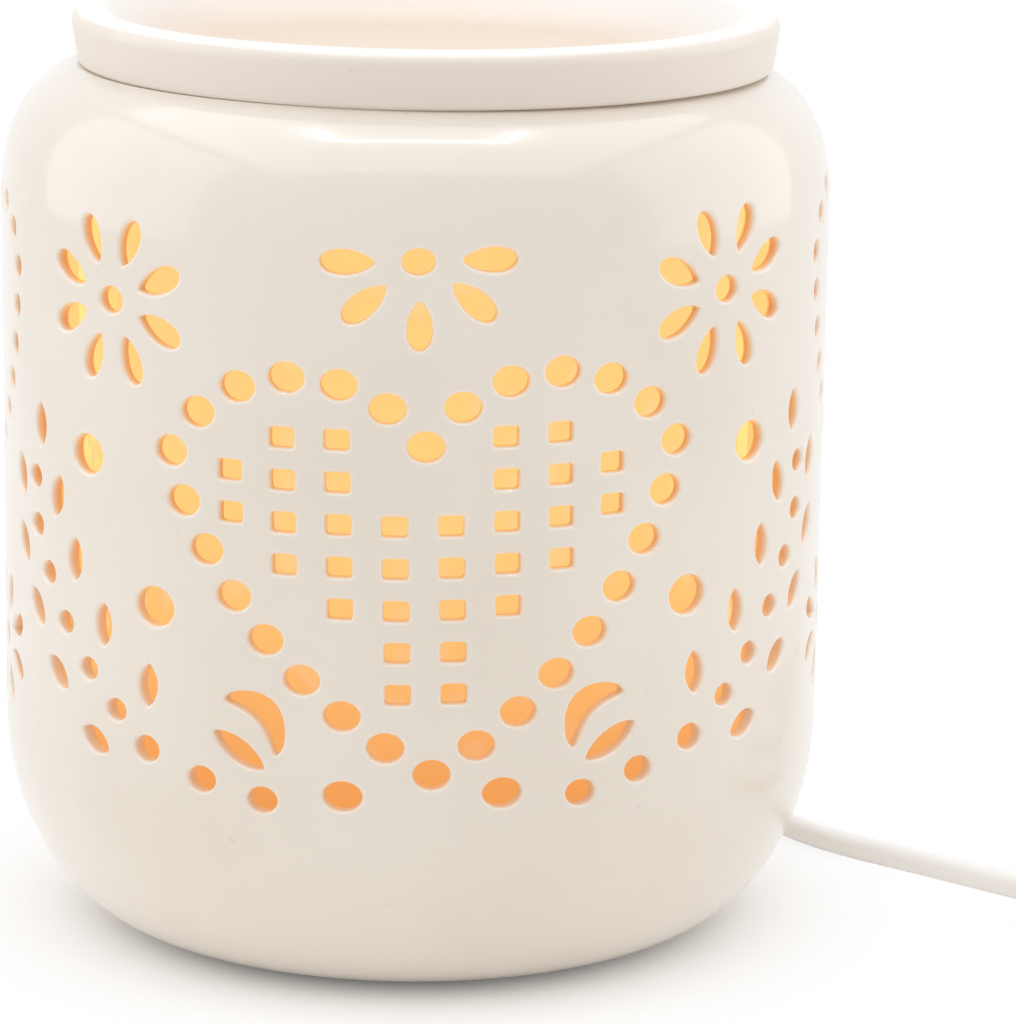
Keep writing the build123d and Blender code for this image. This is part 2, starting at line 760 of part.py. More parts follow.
def coil_radius(turn):
    """Radius of the coil and its change a turn, at a number of turns from the start."""
    climb = (turn - layer_turns) / coil_climb_turns
    if climb < 0:
        return coil_outer_radius - coil_pitch * turn, -coil_pitch
    if climb > 1:
        return coil_inner_radius + coil_pitch * (turn - layer_turns - coil_climb_turns), coil_pitch
    dip = coil_pitch * coil_climb_turns / math.pi * math.sin(math.pi * climb)
    return coil_inner_radius - dip, -coil_pitch * math.cos(math.pi * climb)


def coil_place(turn):
    """Point and unit direction of the coil at a number of turns from its start."""
    climb = min(max((turn - layer_turns) / coil_climb_turns, 0), 1)
    rise = coil_layer_step * (1 - math.cos(math.pi * climb)) / 2
    slope = coil_layer_step * math.pi / (2 * coil_climb_turns) * math.sin(math.pi * climb)
    radius, change = coil_radius(turn)
    angle = entry_angle + 2 * math.pi * turn
    spoke = Vector(math.cos(angle), math.sin(angle), 0)
    around = Vector(-math.sin(angle), math.cos(angle), 0)
    way = spoke * change + around * (2 * math.pi * radius) + Vector(0, 0, slope)
    return coil_centre + spoke * radius + Vector(0, 0, rise), way.normalized()


def arc_joint(start, start_way, end, end_way):
    """Point where two tangent arcs between two places meet, and their direction there."""
    span, ways = end - start, start_way + end_way
    spread = 2 * (1 - start_way.dot(end_way))
    along = span.dot(ways)
    reach = (math.sqrt(along**2 + spread * span.dot(span)) - along) / spread
    joint = (start + end + (start_way - end_way) * reach) / 2
    return joint, ((end - end_way * reach) - (start + start_way * reach)).normalized()


coil_steps = round(coil_turns * coil_steps_a_turn)
coil_places = [coil_place(coil_turns * step / coil_steps) for step in range(coil_steps + 1)]
coil_exit, exit_way = coil_places[-1]
with BuildPart() as cord_coil:
    with BuildLine() as coil_path:
        Line(entry_point, coil_places[0][0])
        for (start, start_way), (end, end_way) in zip(coil_places, coil_places[1:]):
            joint, joint_way = arc_joint(start, start_way, end, end_way)
            TangentArc(start, joint, tangent=start_way)
            TangentArc(joint, end, tangent=joint_way)
        Line(coil_exit, coil_exit + exit_way * coil_lead_out)
    with BuildSketch(Plane(origin=entry_point, z_dir=entry_way)):
        RegularPolygon(cord_radius, cord_sides)
    sweep(path=coil_path.wire())
cord_coil.part.label = "cord_coil"
export_step(cord_coil.part, "parts/cord_coil.step")
print("coil", coil_turns, coil_inner_radius, coil_path.wire().length, len(cord_coil.solids()))
print("coil volume share", cord_coil.part.volume / (cord_area * coil_path.wire().length))
point_count = int(coil_turns * coil_points_a_turn)
line_points = [coil_place(count / coil_points_a_turn)[0] for count in range(point_count)]
half_round = coil_points_a_turn // 2
spans = [(a - b).length for i, a in enumerate(line_points) for b in line_points[i + half_round :]]
print("coil least gap to itself", min(spans) - cord_diameter)

# Tie round the coil's bundle
tie_turn = math.radians(tie_angle)
first_pass = ((tie_turn - entry_angle) / (2 * math.pi)) % 1
tie_radii = [coil_radius(first_pass + lap)[0] for lap in range(int(coil_turns - first_pass) + 1)]
tie_room = cord_radius + tie_gap
tie_mid = (min(tie_radii) + max(tie_radii)) / 2
tie_length = max(tie_radii) - min(tie_radii) + 2 * tie_room
tie_height = coil_layer_step + 2 * tie_room
tie_spoke = Vector(math.cos(tie_turn), math.sin(tie_turn), 0)
tie_plane = Plane(
    origin=(coil_centre.X, coil_centre.Y, 0), x_dir=tie_spoke, z_dir=tie_spoke.cross(Vector(0, 0, 1))
)
with BuildPart() as cord_tie:
    with BuildSketch(tie_plane):
        with Locations((tie_mid, tie_thickness + tie_height / 2)):
            Rectangle(tie_length + 2 * tie_thickness, tie_height + 2 * tie_thickness)
            Rectangle(tie_length, tie_height, mode=Mode.SUBTRACT)
    extrude(amount=tie_width / 2, both=True)
cord_tie.part.label = "cord_tie"
export_step(cord_tie.part, "parts/cord_tie.step")

# Tapered sleeve at the plug
sleeve_start = coil_exit + exit_way * (coil_lead_out + sleeve_gap)
plug_start = sleeve_start + exit_way * sleeve_length
sleeve_flare = math.degrees(
    math.atan((sleeve_root_radius - sleeve_tip_radius) * math.cos(math.pi / sleeve_sides) / sleeve_length)
)
with BuildPart() as plug_sleeve:
    with BuildSketch(Plane(origin=sleeve_start, z_dir=exit_way)):
        RegularPolygon(sleeve_tip_radius, sleeve_sides)
    extrude(amount=sleeve_length, taper=-sleeve_flare)
plug_sleeve.part.label = "plug_sleeve"
export_step(plug_sleeve.part, "parts/plug_sleeve.step")

# Flat plug body lying on the floor
plug_axis_height = coil_exit.Z
plug_foot = (plug_start.X, plug_start.Y, 0)
plug_plane = Plane(origin=plug_foot, x_dir=exit_way.cross(Vector(0, 0, 1)), z_dir=(0, 0, 1))
with BuildPart() as plug_body:
    with BuildSketch(plug_plane):
        with BuildLine():
            shoulder_at = plug_length * plug_shoulder_share
            Polyline(
                (-plug_neck_width / 2, 0),
                (plug_neck_width / 2, 0),
                (plug_width / 2, shoulder_at),
                (plug_width / 2, plug_length),
                (-plug_width / 2, plug_length),
                (-plug_width / 2, shoulder_at),
                close=True,
            )
        make_face()
    extrude(amount=2 * plug_axis_height)
    chamfer(plug_body.faces().sort_by(Axis.Z)[-1].edges(), plug_bevel)
plug_body.part.label = "plug_body"
export_step(plug_body.part, "parts/plug_body.step")

# Plug pins
pin_start = plug_start + exit_way * plug_length
with BuildPart() as plug_pins:
    with BuildSketch(Plane(origin=pin_start, x_dir=plug_plane.x_dir, z_dir=exit_way)):
        with GridLocations(plug_pin_spacing, 0, 2, 1):
            Circle(plug_pin_radius)
    extrude(amount=plug_pin_length)
plug_pins.part.label = "plug_pins"
export_step(plug_pins.part, "parts/plug_pins.step")
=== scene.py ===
"""Electric aroma burner: a pierced glazed jar with a lift-off dish, a lit lamp inside and a white mains lead.

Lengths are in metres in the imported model's frame: Z up, the jar's axis on Z, its pierced front towards -Y.
"""
import logging
import math
from dataclasses import dataclass
from enum import Enum
from typing import Any, Iterable, Optional, Sequence

import bpy
import numpy as np
from mathutils import Matrix, Vector
from mathutils.geometry import delaunay_2d_cdt


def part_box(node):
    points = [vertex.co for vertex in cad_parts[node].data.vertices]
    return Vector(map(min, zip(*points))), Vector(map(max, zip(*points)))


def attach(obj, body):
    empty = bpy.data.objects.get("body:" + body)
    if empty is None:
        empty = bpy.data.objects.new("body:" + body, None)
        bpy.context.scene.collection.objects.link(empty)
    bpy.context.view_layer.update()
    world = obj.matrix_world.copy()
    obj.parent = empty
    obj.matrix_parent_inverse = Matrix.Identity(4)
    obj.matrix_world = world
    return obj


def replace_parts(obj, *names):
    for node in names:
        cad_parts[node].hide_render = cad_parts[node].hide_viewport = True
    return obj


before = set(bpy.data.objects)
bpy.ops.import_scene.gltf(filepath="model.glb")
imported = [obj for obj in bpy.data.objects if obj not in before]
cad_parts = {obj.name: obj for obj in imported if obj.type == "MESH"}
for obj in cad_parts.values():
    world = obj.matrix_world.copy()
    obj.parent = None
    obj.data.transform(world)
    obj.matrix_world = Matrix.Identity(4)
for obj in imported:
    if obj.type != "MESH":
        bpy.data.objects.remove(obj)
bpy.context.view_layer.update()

log = logging.getLogger("aroma_burner")
Colour = tuple[float, float, float, float]
Screen = tuple[int, int, int]
Outline = list[tuple[float, float]]
Settings = Optional[dict[str, Any]]
Inputs = Optional[dict[Any, Any]]
FULL_TURN = 2 * math.pi
TURN_DEGREES = 360
HALF = 0.5
STRAIGHT = math.radians(89.0)
SAME_PLACE = 1e-7
SHORTEST = 1e-12
WHITE: Colour = (1.0, 1.0, 1.0, 1.0)
BLACK: Colour = (0.0, 0.0, 0.0, 1.0)
SCREEN_TOP = 255
SCREEN_DARK = 0.04045
SCREEN_DARK_SLOPE = 12.92
SCREEN_OFFSET = 0.055
SCREEN_POWER = 2.4
BLEND_FIRST, BLEND_SECOND, BLEND_RESULT = 6, 7, 2


def screen_colour(red: int, green: int, blue: int) -> Colour:
    """Linear colour of a screen colour.

    Args:
        red: Level of red from 0 to 255.
        green: Level of green from 0 to 255.
        blue: Level of blue from 0 to 255.

    Returns:
        The linear colour, opaque.
    """
    parts = [value / SCREEN_TOP for value in (red, green, blue)]
    linear = [
        part / SCREEN_DARK_SLOPE if part <= SCREEN_DARK
        else ((part + SCREEN_OFFSET) / (1 + SCREEN_OFFSET)) ** SCREEN_POWER
        for part in parts
    ]
    return (linear[0], linear[1], linear[2], 1.0)


class Value:
    """A shader socket whose arithmetic adds Math nodes to its graph."""

    def __init__(self, graph: "Graph", socket: bpy.types.NodeSocket) -> None:
        """Wrap one output socket of a graph."""
        self.graph = graph
        self.socket = socket

    def math(self, operation: str, first: Any, second: Any) -> "Value":
        """Math node on two values or numbers."""
        made = self.graph.node("ShaderNodeMath", {"operation": operation}, {0: first, 1: second})
        return Value(self.graph, made.outputs[0])

    def __add__(self, other: Any) -> "Value":
        """Sum of two values."""
        return self.math("ADD", self, other)

    def __radd__(self, other: Any) -> "Value":
        """Sum with a number on the left."""
        return self.math("ADD", other, self)

    def __sub__(self, other: Any) -> "Value":
        """Difference of two values."""
        return self.math("SUBTRACT", self, other)

    def __rsub__(self, other: Any) -> "Value":
        """Difference from a number on the left."""
        return self.math("SUBTRACT", other, self)

    def __mul__(self, other: Any) -> "Value":
        """Product of two values."""
        return self.math("MULTIPLY", self, other)

    def __rmul__(self, other: Any) -> "Value":
        """Product with a number on the left."""
        return self.math("MULTIPLY", other, self)

    def __truediv__(self, other: Any) -> "Value":
        """Quotient of two values."""
        return self.math("DIVIDE", self, other)

    def __rtruediv__(self, other: Any) -> "Value":
        """Quotient of a number on the left."""
        return self.math("DIVIDE", other, self)

    def wave(self) -> "Value":
        """Cosine of the value."""
        return self.math("COSINE", self, 0.0)

    def largest(self, other: Any) -> "Value":
        """Larger of two values."""
        return self.math("MAXIMUM", self, other)

    def ramp(self, low: float, high: float, start: float = 0.0, end: float = 1.0) -> "Value":
        """Smooth step between two levels, from a start to an end value.

        Args:
            low: Level at which the step begins.
            high: Level at which the step is complete.
            start: Value below the step.
            end: Value above the step.

        Returns:
            The stepped value.
        """
        inputs = {"Value": self, "From Min": low, "From Max": high, "To Min": start, "To Max": end}
        made = self.graph.node("ShaderNodeMapRange", {"interpolation_type": "SMOOTHSTEP"}, inputs)
        return Value(self.graph, made.outputs["Result"])


class Graph:
    """Node tree in the making."""

    def __init__(self, tree: bpy.types.NodeTree) -> None:
        """Start on an empty tree."""
        self.tree = tree
        self.tree.nodes.clear()

    def node(self, kind: str, settings: Settings = None, inputs: Inputs = None) -> bpy.types.Node:
        """Add one node.

        Args:
            kind: Type of the node.
            settings: Properties of the node, set first.
            inputs: Values or links of its sockets, by name or place.

        Returns:
            The new node.
        """
        made = self.tree.nodes.new(kind)
        for key, value in (settings or {}).items():
            setattr(made, key, value)
        for key, value in (inputs or {}).items():
            if isinstance(value, Value):
                self.tree.links.new(value.socket, made.inputs[key])
            else:
                made.inputs[key].default_value = value
        return made

    def value(self, kind: str, output: Any, settings: Settings = None, inputs: Inputs = None) -> Value:
        """One output of a new node, wrapped for arithmetic."""
        return Value(self, self.node(kind, settings, inputs).outputs[output])

    def axis(self, place: Value, name: str) -> Value:
        """One coordinate of a place, by its letter."""
        return self.value("ShaderNodeSeparateXYZ", name, None, {0: place})

    def seen_rays(self) -> Value:
        """Tell the rays that are seen from those that light matt surfaces.

        Returns:
            One for rays of the camera, of gloss and of clear glass, and nought for the others.
        """
        rays = self.node("ShaderNodeLightPath")
        seen = Value(self, rays.outputs["Is Camera Ray"])
        for name in ("Is Glossy Ray", "Is Transmission Ray"):
            seen = seen.largest(Value(self, rays.outputs[name]))
        return seen


class Paint(Graph):
    """Node tree of one material."""

    def __init__(self, name: str) -> None:
        """Make an empty material.

        Args:
            name: Name of the material.
        """
        self.material = bpy.data.materials.new(name)
        self.material.use_nodes = True
        super().__init__(self.material.node_tree)

    def place(self) -> Value:
        """Object coordinates."""
        return self.value("ShaderNodeTexCoord", "Object")

    def mark(self, name: str) -> Value:
        """Value of a mark on the mesh."""
        return self.value("ShaderNodeAttribute", "Fac", {"attribute_name": name})

    def from_axis(self, place: Value) -> Value:
        """Distance of a place from the jar's axis."""
        x, y = self.axis(place, "X"), self.axis(place, "Y")
        return self.value("ShaderNodeMath", 0, {"operation": "SQRT"}, {0: x * x + y * y})

    def noise(self, place: Value, scale: float, detail: float = 3.0, roughness: float = 0.5) -> Value:
        """Noise over a place, from about 0 to 1."""
        inputs = {"Vector": place, "Scale": scale, "Detail": detail, "Roughness": roughness}
        return self.value("ShaderNodeTexNoise", "Fac", None, inputs)

    def blend(self, factor: Any, first: Any, second: Any) -> Value:
        """Colour between two colours."""
        inputs = {0: factor, BLEND_FIRST: first, BLEND_SECOND: second}
        return self.value("ShaderNodeMix", BLEND_RESULT, {"data_type": "RGBA"}, inputs)

    def bump(self, height: Value, strength: float, distance: float) -> Value:
        """Normal raised by a height."""
        inputs = {"Height": height, "Strength": strength, "Distance": distance}
        return self.value("ShaderNodeBump", "Normal", None, inputs)

    def surface(self, sockets: dict) -> bpy.types.Material:
        """Finish the material with a Principled shader.

        Args:
            sockets: Values or links of the shader's sockets by name.

        Returns:
            The finished material.
        """
        shader = self.node("ShaderNodeBsdfPrincipled", None, sockets)
        self.node("ShaderNodeOutputMaterial", None, {"Surface": Value(self, shader.outputs[0])})
        return self.material


class Former(Graph):
    """Geometry Nodes tree that forms one piece from named inputs."""

    def __init__(self, name: str, inputs: dict[str, str]) -> None:
        """Make a tree with named inputs.

        Args:
            name: Name of the tree.
            inputs: Socket type of each named input.
        """
        super().__init__(bpy.data.node_groups.new(name, "GeometryNodeTree"))
        self.name = name
        face = self.tree.interface
        self.keys = {key: face.new_socket(key, in_out="INPUT", socket_type=kind).identifier
                     for key, kind in inputs.items()}
        face.new_socket("Geometry", in_out="OUTPUT", socket_type="NodeSocketGeometry")
        self.start = self.node("NodeGroupInput")

    def given(self, key: str) -> Value:
        """Named input of the tree."""
        return Value(self, self.start.outputs[key])

    def finish(self, geometry: Value) -> None:
        """Realize the geometry, give it the tree's material and close the tree.

        Args:
            geometry: The formed geometry.
        """
        real = self.value("GeometryNodeRealizeInstances", 0, None, {0: geometry})
        inputs = {"Geometry": real, "Material": self.given("Material")}
        self.node("NodeGroupOutput", None, {0: self.value("GeometryNodeSetMaterial", 0, None, inputs)})

    def piece(self, values: dict[str, Any]) -> bpy.types.Object:
        """Evaluate the tree.

        Args:
            values: Values of the tree's named inputs.

        Returns:
            The result as a plain mesh object.
        """
        carrier = bpy.data.objects.new(self.name, bpy.data.meshes.new(self.name))
        bpy.context.scene.collection.objects.link(carrier)
        modifier = carrier.modifiers.new(self.name, "NODES")
        modifier.node_group = self.tree
        for key, value in values.items():
            modifier[self.keys[key]] = value
        shape = carrier.evaluated_get(bpy.context.evaluated_depsgraph_get())
        mesh = bpy.data.meshes.new_from_object(shape)
        carrier.modifiers.remove(modifier)
        carrier.data = mesh
        return carrier


@dataclass(frozen=True)
class LampLight:
    """Colour of the lamp's light, yellow above the lamp and orange towards the floor; it is also painted as
    glow on what the lamp shines on.
    """

    high_colour: Colour = screen_colour(252, 202, 124)
    low_colour: Colour = screen_colour(228, 140, 74)
    low: float = 0.012
    high: float = 0.090

    def colour(self, graph: Paint, place: Value) -> Value:
        """Colour of the light by height."""
        share = graph.axis(place, "Z").ramp(self.low, self.high)
        return graph.blend(share, self.low_colour, self.high_colour)


@dataclass(frozen=True)
class Glaze:
    """Glossy white glaze with faint clouds and specks, and painted lamp light where the mesh's marks say so.
    """

    name: str
    colour: Colour
    cloud_colour: Colour
    # Painted light on the dish: whiter upper faces for the light from above, and a peach middle for the
    # lamp's glow through the bowl.
    painted_bowl_glow_colour: Optional[Colour] = None
    painted_top_light_colour: Colour = screen_colour(244, 240, 237)
    bowl_glow_edges: tuple[float, float] = (0.040, 0.055)
    cloud_scale: float = 22.0
    cloud_levels: tuple[float, float] = (0.35, 0.7)
    speck_scale: float = 420.0
    speck_detail: float = 1.0
    speck_levels: tuple[float, float] = (0.785, 0.815)
    speck_share: float = 0.35
    speck_colour: Colour = screen_colour(212, 200, 188)
    # Dark base colour under the painted lamp glow of the inner faces.
    glow_base_colour: Colour = screen_colour(70, 48, 30)
    glow_base_levels: tuple[float, float] = (0.7, 1.0)
    # Painted warmth: lamp light on the hole tunnels, painted as an orange base colour.
    warm_colour: Colour = screen_colour(240, 176, 112)
    roughness: float = 0.20
    gloss_levels: tuple[float, float] = (0.2, 0.8)
    gloss_range: tuple[float, float] = (-0.04, 0.06)
    coat: float = 0.6
    coat_roughness: float = 0.06
    refraction: float = 1.5
    ripple_scale: float = 60.0
    ripple_strength: float = 0.25
    ripple_depth: float = 0.0001
    light: LampLight = LampLight()

    def material(self) -> bpy.types.Material:
        """Make the glaze.

        Returns:
            The material, which reads its mesh's marks: painted lamp glow, painted warmth and the bowl.
        """
        graph = Paint(self.name)
        place = graph.place()
        clouds = graph.noise(place, self.cloud_scale)
        colour = graph.blend(clouds.ramp(*self.cloud_levels), self.colour, self.cloud_colour)
        specks = graph.noise(place, self.speck_scale, self.speck_detail).ramp(*self.speck_levels)
        colour = graph.blend(specks * self.speck_share, colour, self.speck_colour)
        # Painted lamp light: the hole tunnels are tinted orange where the mesh is marked.
        colour = graph.blend(graph.mark("warm"), colour, self.warm_colour)
        if self.painted_bowl_glow_colour is not None:
            # Painted light: the upper faces are whiter and the middle of the bowl is peach.
            above = graph.mark("bowl")
            colour = graph.blend(above, colour, self.painted_top_light_colour)
            middle = 1 - graph.from_axis(place).ramp(*self.bowl_glow_edges)
            colour = graph.blend(middle * above, colour, self.painted_bowl_glow_colour)
        # Painted lamp glow: emission where the mesh is marked, over the dark base.
        lit = graph.mark("lit")
        glow = self.light.colour(graph, place)
        ripple = graph.noise(place, self.ripple_scale)
        rough = [self.roughness + step for step in self.gloss_range]
        return graph.surface({
            "Base Color": graph.blend(lit.ramp(*self.glow_base_levels), colour, self.glow_base_colour),
            "Roughness": clouds.ramp(*self.gloss_levels, *rough),
            "Coat Weight": self.coat,
            "Coat Roughness": self.coat_roughness,
            "IOR": self.refraction,
            "Emission Color": graph.blend(lit, BLACK, glow),
            "Emission Strength": 1.0,
            "Normal": graph.bump(ripple, self.ripple_strength, self.ripple_depth),
        })


class Grain(Enum):
    """How the fine structure of a plain finish runs."""

    EVEN = (1.0, 1.0, 1.0)
    ROLLED = (1.0, 14.0, 14.0)


@dataclass(frozen=True)
class Finish:
    """Plain finish of a small piece: colour with a second tone, gloss, a fine grain and, where set, a glow:
    the lamp's own light on the capsule, painted lamp light on the other parts.
    """

    name: str
    colour: Screen
    tone: Screen
    roughness: float
    metallic: float = 0.0
    scale: float = 900.0
    depth: float = 0.00004
    grain: Grain = Grain.EVEN
    glow: float = 0.0
    transmission: float = 0.0
    tone_scale_share: float = 0.08
    tone_levels: tuple[float, float] = (0.3, 0.75)
    gloss_levels: tuple[float, float] = (0.25, 0.8)
    gloss_range: tuple[float, float] = (-0.06, 0.08)
    grain_strength: float = 0.3

    def material(self) -> bpy.types.Material:
        """Make the finish.

        Returns:
            The material.
        """
        graph = Paint(self.name)
        place = graph.place()
        stretched = graph.value("ShaderNodeMapping", 0, None, {"Vector": place, "Scale": self.grain.value})
        fine = graph.noise(stretched, self.scale)
        broad = graph.noise(place, self.scale * self.tone_scale_share).ramp(*self.tone_levels)
        rough = [self.roughness + step for step in self.gloss_range]
        sockets = {
            "Base Color": graph.blend(broad, screen_colour(*self.colour), screen_colour(*self.tone)),
            "Metallic": self.metallic,
            "Roughness": fine.ramp(*self.gloss_levels, *rough),
            "Transmission Weight": self.transmission,
            "Normal": graph.bump(fine, self.grain_strength, self.depth),
        }
        # The capsule's glow is the lamp's own light; on the other parts it is painted lamp light.
        if self.glow:
            sockets["Emission Color"] = LampLight().colour(graph, place)
            sockets["Emission Strength"] = self.glow
        return graph.surface(sockets)


JAR_GLAZE = Glaze("jar_glaze", screen_colour(238, 230, 220), screen_colour(233, 224, 213))
# The dish glaze's third colour is the painted peach glow in the middle of the bowl.
DISH_GLAZE = Glaze(
    "dish_glaze", screen_colour(238, 229, 220), screen_colour(235, 225, 215), screen_colour(226, 207, 188),
    roughness=0.36, coat=0.25, coat_roughness=0.25,
)
SHEET_STEEL = Finish(
    "sheet_steel", (196, 196, 194), (176, 177, 178), 0.34, 1.0, 700.0, 0.00003, Grain.ROLLED,
)
# The bracket's glow is painted lamp light.
BRACKET = Finish(
    "bracket_steel", (196, 196, 194), (176, 177, 178), 0.36, 1.0, 700.0, 0.00003, Grain.ROLLED, glow=0.05,
)
SCREW_STEEL = Finish("screw_steel", (205, 204, 200), (182, 182, 180), 0.3, 1.0)
BRASS = Finish("contact_brass", (214, 176, 96), (190, 150, 78), 0.32, 1.0)
RUBBER = Finish("foot_rubber", (206, 203, 198), (188, 185, 180), 0.7, depth=0.00008)
# Glow on the holder, cap, reflector, front glass, terminal, wires and grip is painted lamp light; the
# capsule's glow is the lamp's own.
CERAMIC = Finish("holder_ceramic", (236, 228, 214), (226, 217, 200), 0.5, glow=0.12)
LAMP_CAP = Finish("lamp_cap_ceramic", (236, 228, 214), (224, 214, 198), 0.45, glow=0.15)
MIRROR = Finish("lamp_mirror", (238, 226, 202), (226, 208, 176), 0.16, 0.9, glow=0.05)
LAMP_GLASS = Finish("lamp_glass", (255, 246, 230), (255, 240, 216), 0.12, glow=0.1, transmission=0.85)
CAPSULE = Finish("capsule_glass", (255, 244, 222), (255, 236, 204), 0.2, glow=0.8)
TERMINAL = Finish("terminal_plastic", (226, 222, 212), (214, 209, 198), 0.45, glow=0.1)
WIRE = Finish("wire_plastic", (206, 190, 160), (190, 172, 140), 0.5, glow=0.1)
GRIP = Finish("grip_plastic", (220, 216, 208), (206, 202, 194), 0.5, glow=0.1)
LEAD = Finish("lead_plastic", (254, 253, 251), (250, 248, 246), 0.36, scale=420.0)
PLUG = Finish("plug_plastic", (246, 244, 241), (240, 238, 234), 0.4, depth=0.00005)
PIN_STEEL = Finish("pin_steel", (214, 210, 200), (190, 186, 176), 0.24, 1.0)
TIE = Finish("tie_plastic", (236, 234, 230), (226, 223, 218), 0.5, scale=1400.0)


def arc_corners(corners: Iterable[tuple[float, float, float]], steps: int = 6) -> Outline:
    """Outline through corners, each rounded by an arc of its own radius.

    Args:
        corners: Distance from the axis, height and radius of each corner.
        steps: Number of pieces in each arc.

    Returns:
        Points along the rounded outline.
    """
    rows = [(Vector((r, z)), radius) for r, z, radius in corners]
    points: Outline = [tuple(rows[0][0])]
    for (before, _), (corner, radius), (after, _) in zip(rows, rows[1:], rows[2:]):
        back, on = (before - corner).normalized(), (after - corner).normalized()
        half_angle = back.angle(on) / 2
        if not radius or half_angle > STRAIGHT:
            points.append(tuple(corner))
            continue
        longest = min((before - corner).length, (after - corner).length) * HALF
        reach = min(radius / math.tan(half_angle), longest)
        true_radius = reach * math.tan(half_angle)
        centre = corner + (back + on).normalized() * (true_radius / math.sin(half_angle))
        start, end = corner + back * reach - centre, corner + on * reach - centre
        turn = start.angle_signed(end)
        for step in range(steps + 1):
            spot = start.copy()
            spot.rotate(Matrix.Rotation(-turn * step / steps, 2))
            points.append(tuple(centre + spot))
    points.append(tuple(rows[-1][0]))
    return points[:1] + [end for start, end in zip(points, points[1:]) if math.dist(start, end) > SAME_PLACE]


class Shell:
    """Points, normals, marks and faces of a mesh in the making."""

    def __init__(self, marks: Sequence[str] = ()) -> None:
        """Start an empty mesh.

        Args:
            marks: Names of the float marks on its points.
        """
        self.points: list[tuple[float, float, float]] = []
        self.normals: list[tuple[float, float, float]] = []
        self.faces: list[list[int]] = []
        self.marks: dict[str, list[float]] = {name: [] for name in marks}

    def add(self, points: np.ndarray, normals: np.ndarray, **marks: float) -> list[int]:
        """Add points.

        Args:
            points: Places of the points.
            normals: Their outward directions.
            marks: Values of their marks, nought where none is given.

        Returns:
            Numbers of the new points.
        """
        first = len(self.points)
        self.points += [tuple(p) for p in points]
        self.normals += [tuple(n) for n in normals]
        for name, values in self.marks.items():
            values += [marks.get(name, 0.0)] * len(points)
        return list(range(first, len(self.points)))

    def strip(self, near: Sequence[int], far: Sequence[int]) -> None:
        """Close a strip of four-sided faces between two rings.

        Args:
            near: Points of the first ring.
            far: Points of the second ring, as many as in the first.
        """
        for i in range(len(near)):
            j = (i + 1) % len(near)
            self.faces.append([near[i], near[j], far[j], far[i]])

    def fan(self, ring: Sequence[int], pole: int, upward: bool) -> None:
        """Close a ring to one point on the axis.

        Args:
            ring: Points of the ring.
            pole: The point on the axis.
            upward: Whether the faces look up.
        """
        for i in range(len(ring)):
            j = (i + 1) % len(ring)
            self.faces.append([ring[i], ring[j], pole] if upward else [ring[j], ring[i], pole])

    def turn(self, place: Matrix, first: int = 0) -> None:
        """Move points to a place, with their normals.

        Args:
            place: The place to move to.
            first: The point from which on all are moved.
        """
        turn = place.to_3x3()
        for i in range(first, len(self.points)):
            self.points[i] = tuple(place @ Vector(self.points[i]))
            self.normals[i] = tuple(turn @ Vector(self.normals[i]))

    def piece(self, name: str, material: bpy.types.Material) -> bpy.types.Object:
        """Make the mesh, with smooth normals and its marks.

        Args:
            name: Name of the piece.
            material: Its material.

        Returns:
            The finished object.
        """
        mesh = bpy.data.meshes.new(name)
        mesh.from_pydata(self.points, [], self.faces)
        mesh.polygons.foreach_set("use_smooth", [True] * len(mesh.polygons))
        for mark, values in self.marks.items():
            mesh.attributes.new(mark, "FLOAT", "POINT").data.foreach_set("value", values)
        mesh.normals_split_custom_set_from_vertices(self.normals)
        mesh.materials.append(material)
        made = bpy.data.objects.new(name, mesh)
        bpy.context.scene.collection.objects.link(made)
        return made


def outline_normals(outline: Outline) -> np.ndarray:
    """Outward directions along an outline.

    Args:
        outline: Points of the outline, walked with the solid on its left.

    Returns:
        One direction for each point.
    """
    ways = np.gradient(np.array(outline), axis=0)
    ways = ways / np.maximum(np.linalg.norm(ways, axis=1, keepdims=True), SHORTEST)
    return np.stack([ways[:, 1], -ways[:, 0]], axis=1)


def turned_rows(
    shell: Shell, outline: Outline, angles: np.ndarray, marks: Sequence[dict],
    ways: Optional[np.ndarray] = None,
) -> list[list[int]]:
    """Add one ring of points for each point of an outline turned about the Z axis.

    Args:
        shell: Mesh in the making.
        outline: Distance from the axis and height of each ring.
        angles: Angles of the ring's points, from the front towards +X.
        marks: Marks of each ring.
        ways: Outward directions of the outline, worked out from it if they aren't given.

    Returns:
        Numbers of the points, ring by ring.
    """
    rows = []
    ways = outline_normals(outline) if ways is None else ways
    sines, cosines = np.sin(angles), -np.cos(angles)
    for (r, z), (out, up), mark in zip(outline, ways, marks):
        points = np.stack([r * sines, r * cosines, np.full_like(angles, z)], axis=1)
        normals = np.stack([out * sines, out * cosines, np.full_like(angles, up)], axis=1)
        rows.append(shell.add(points, normals, **mark))
    return rows


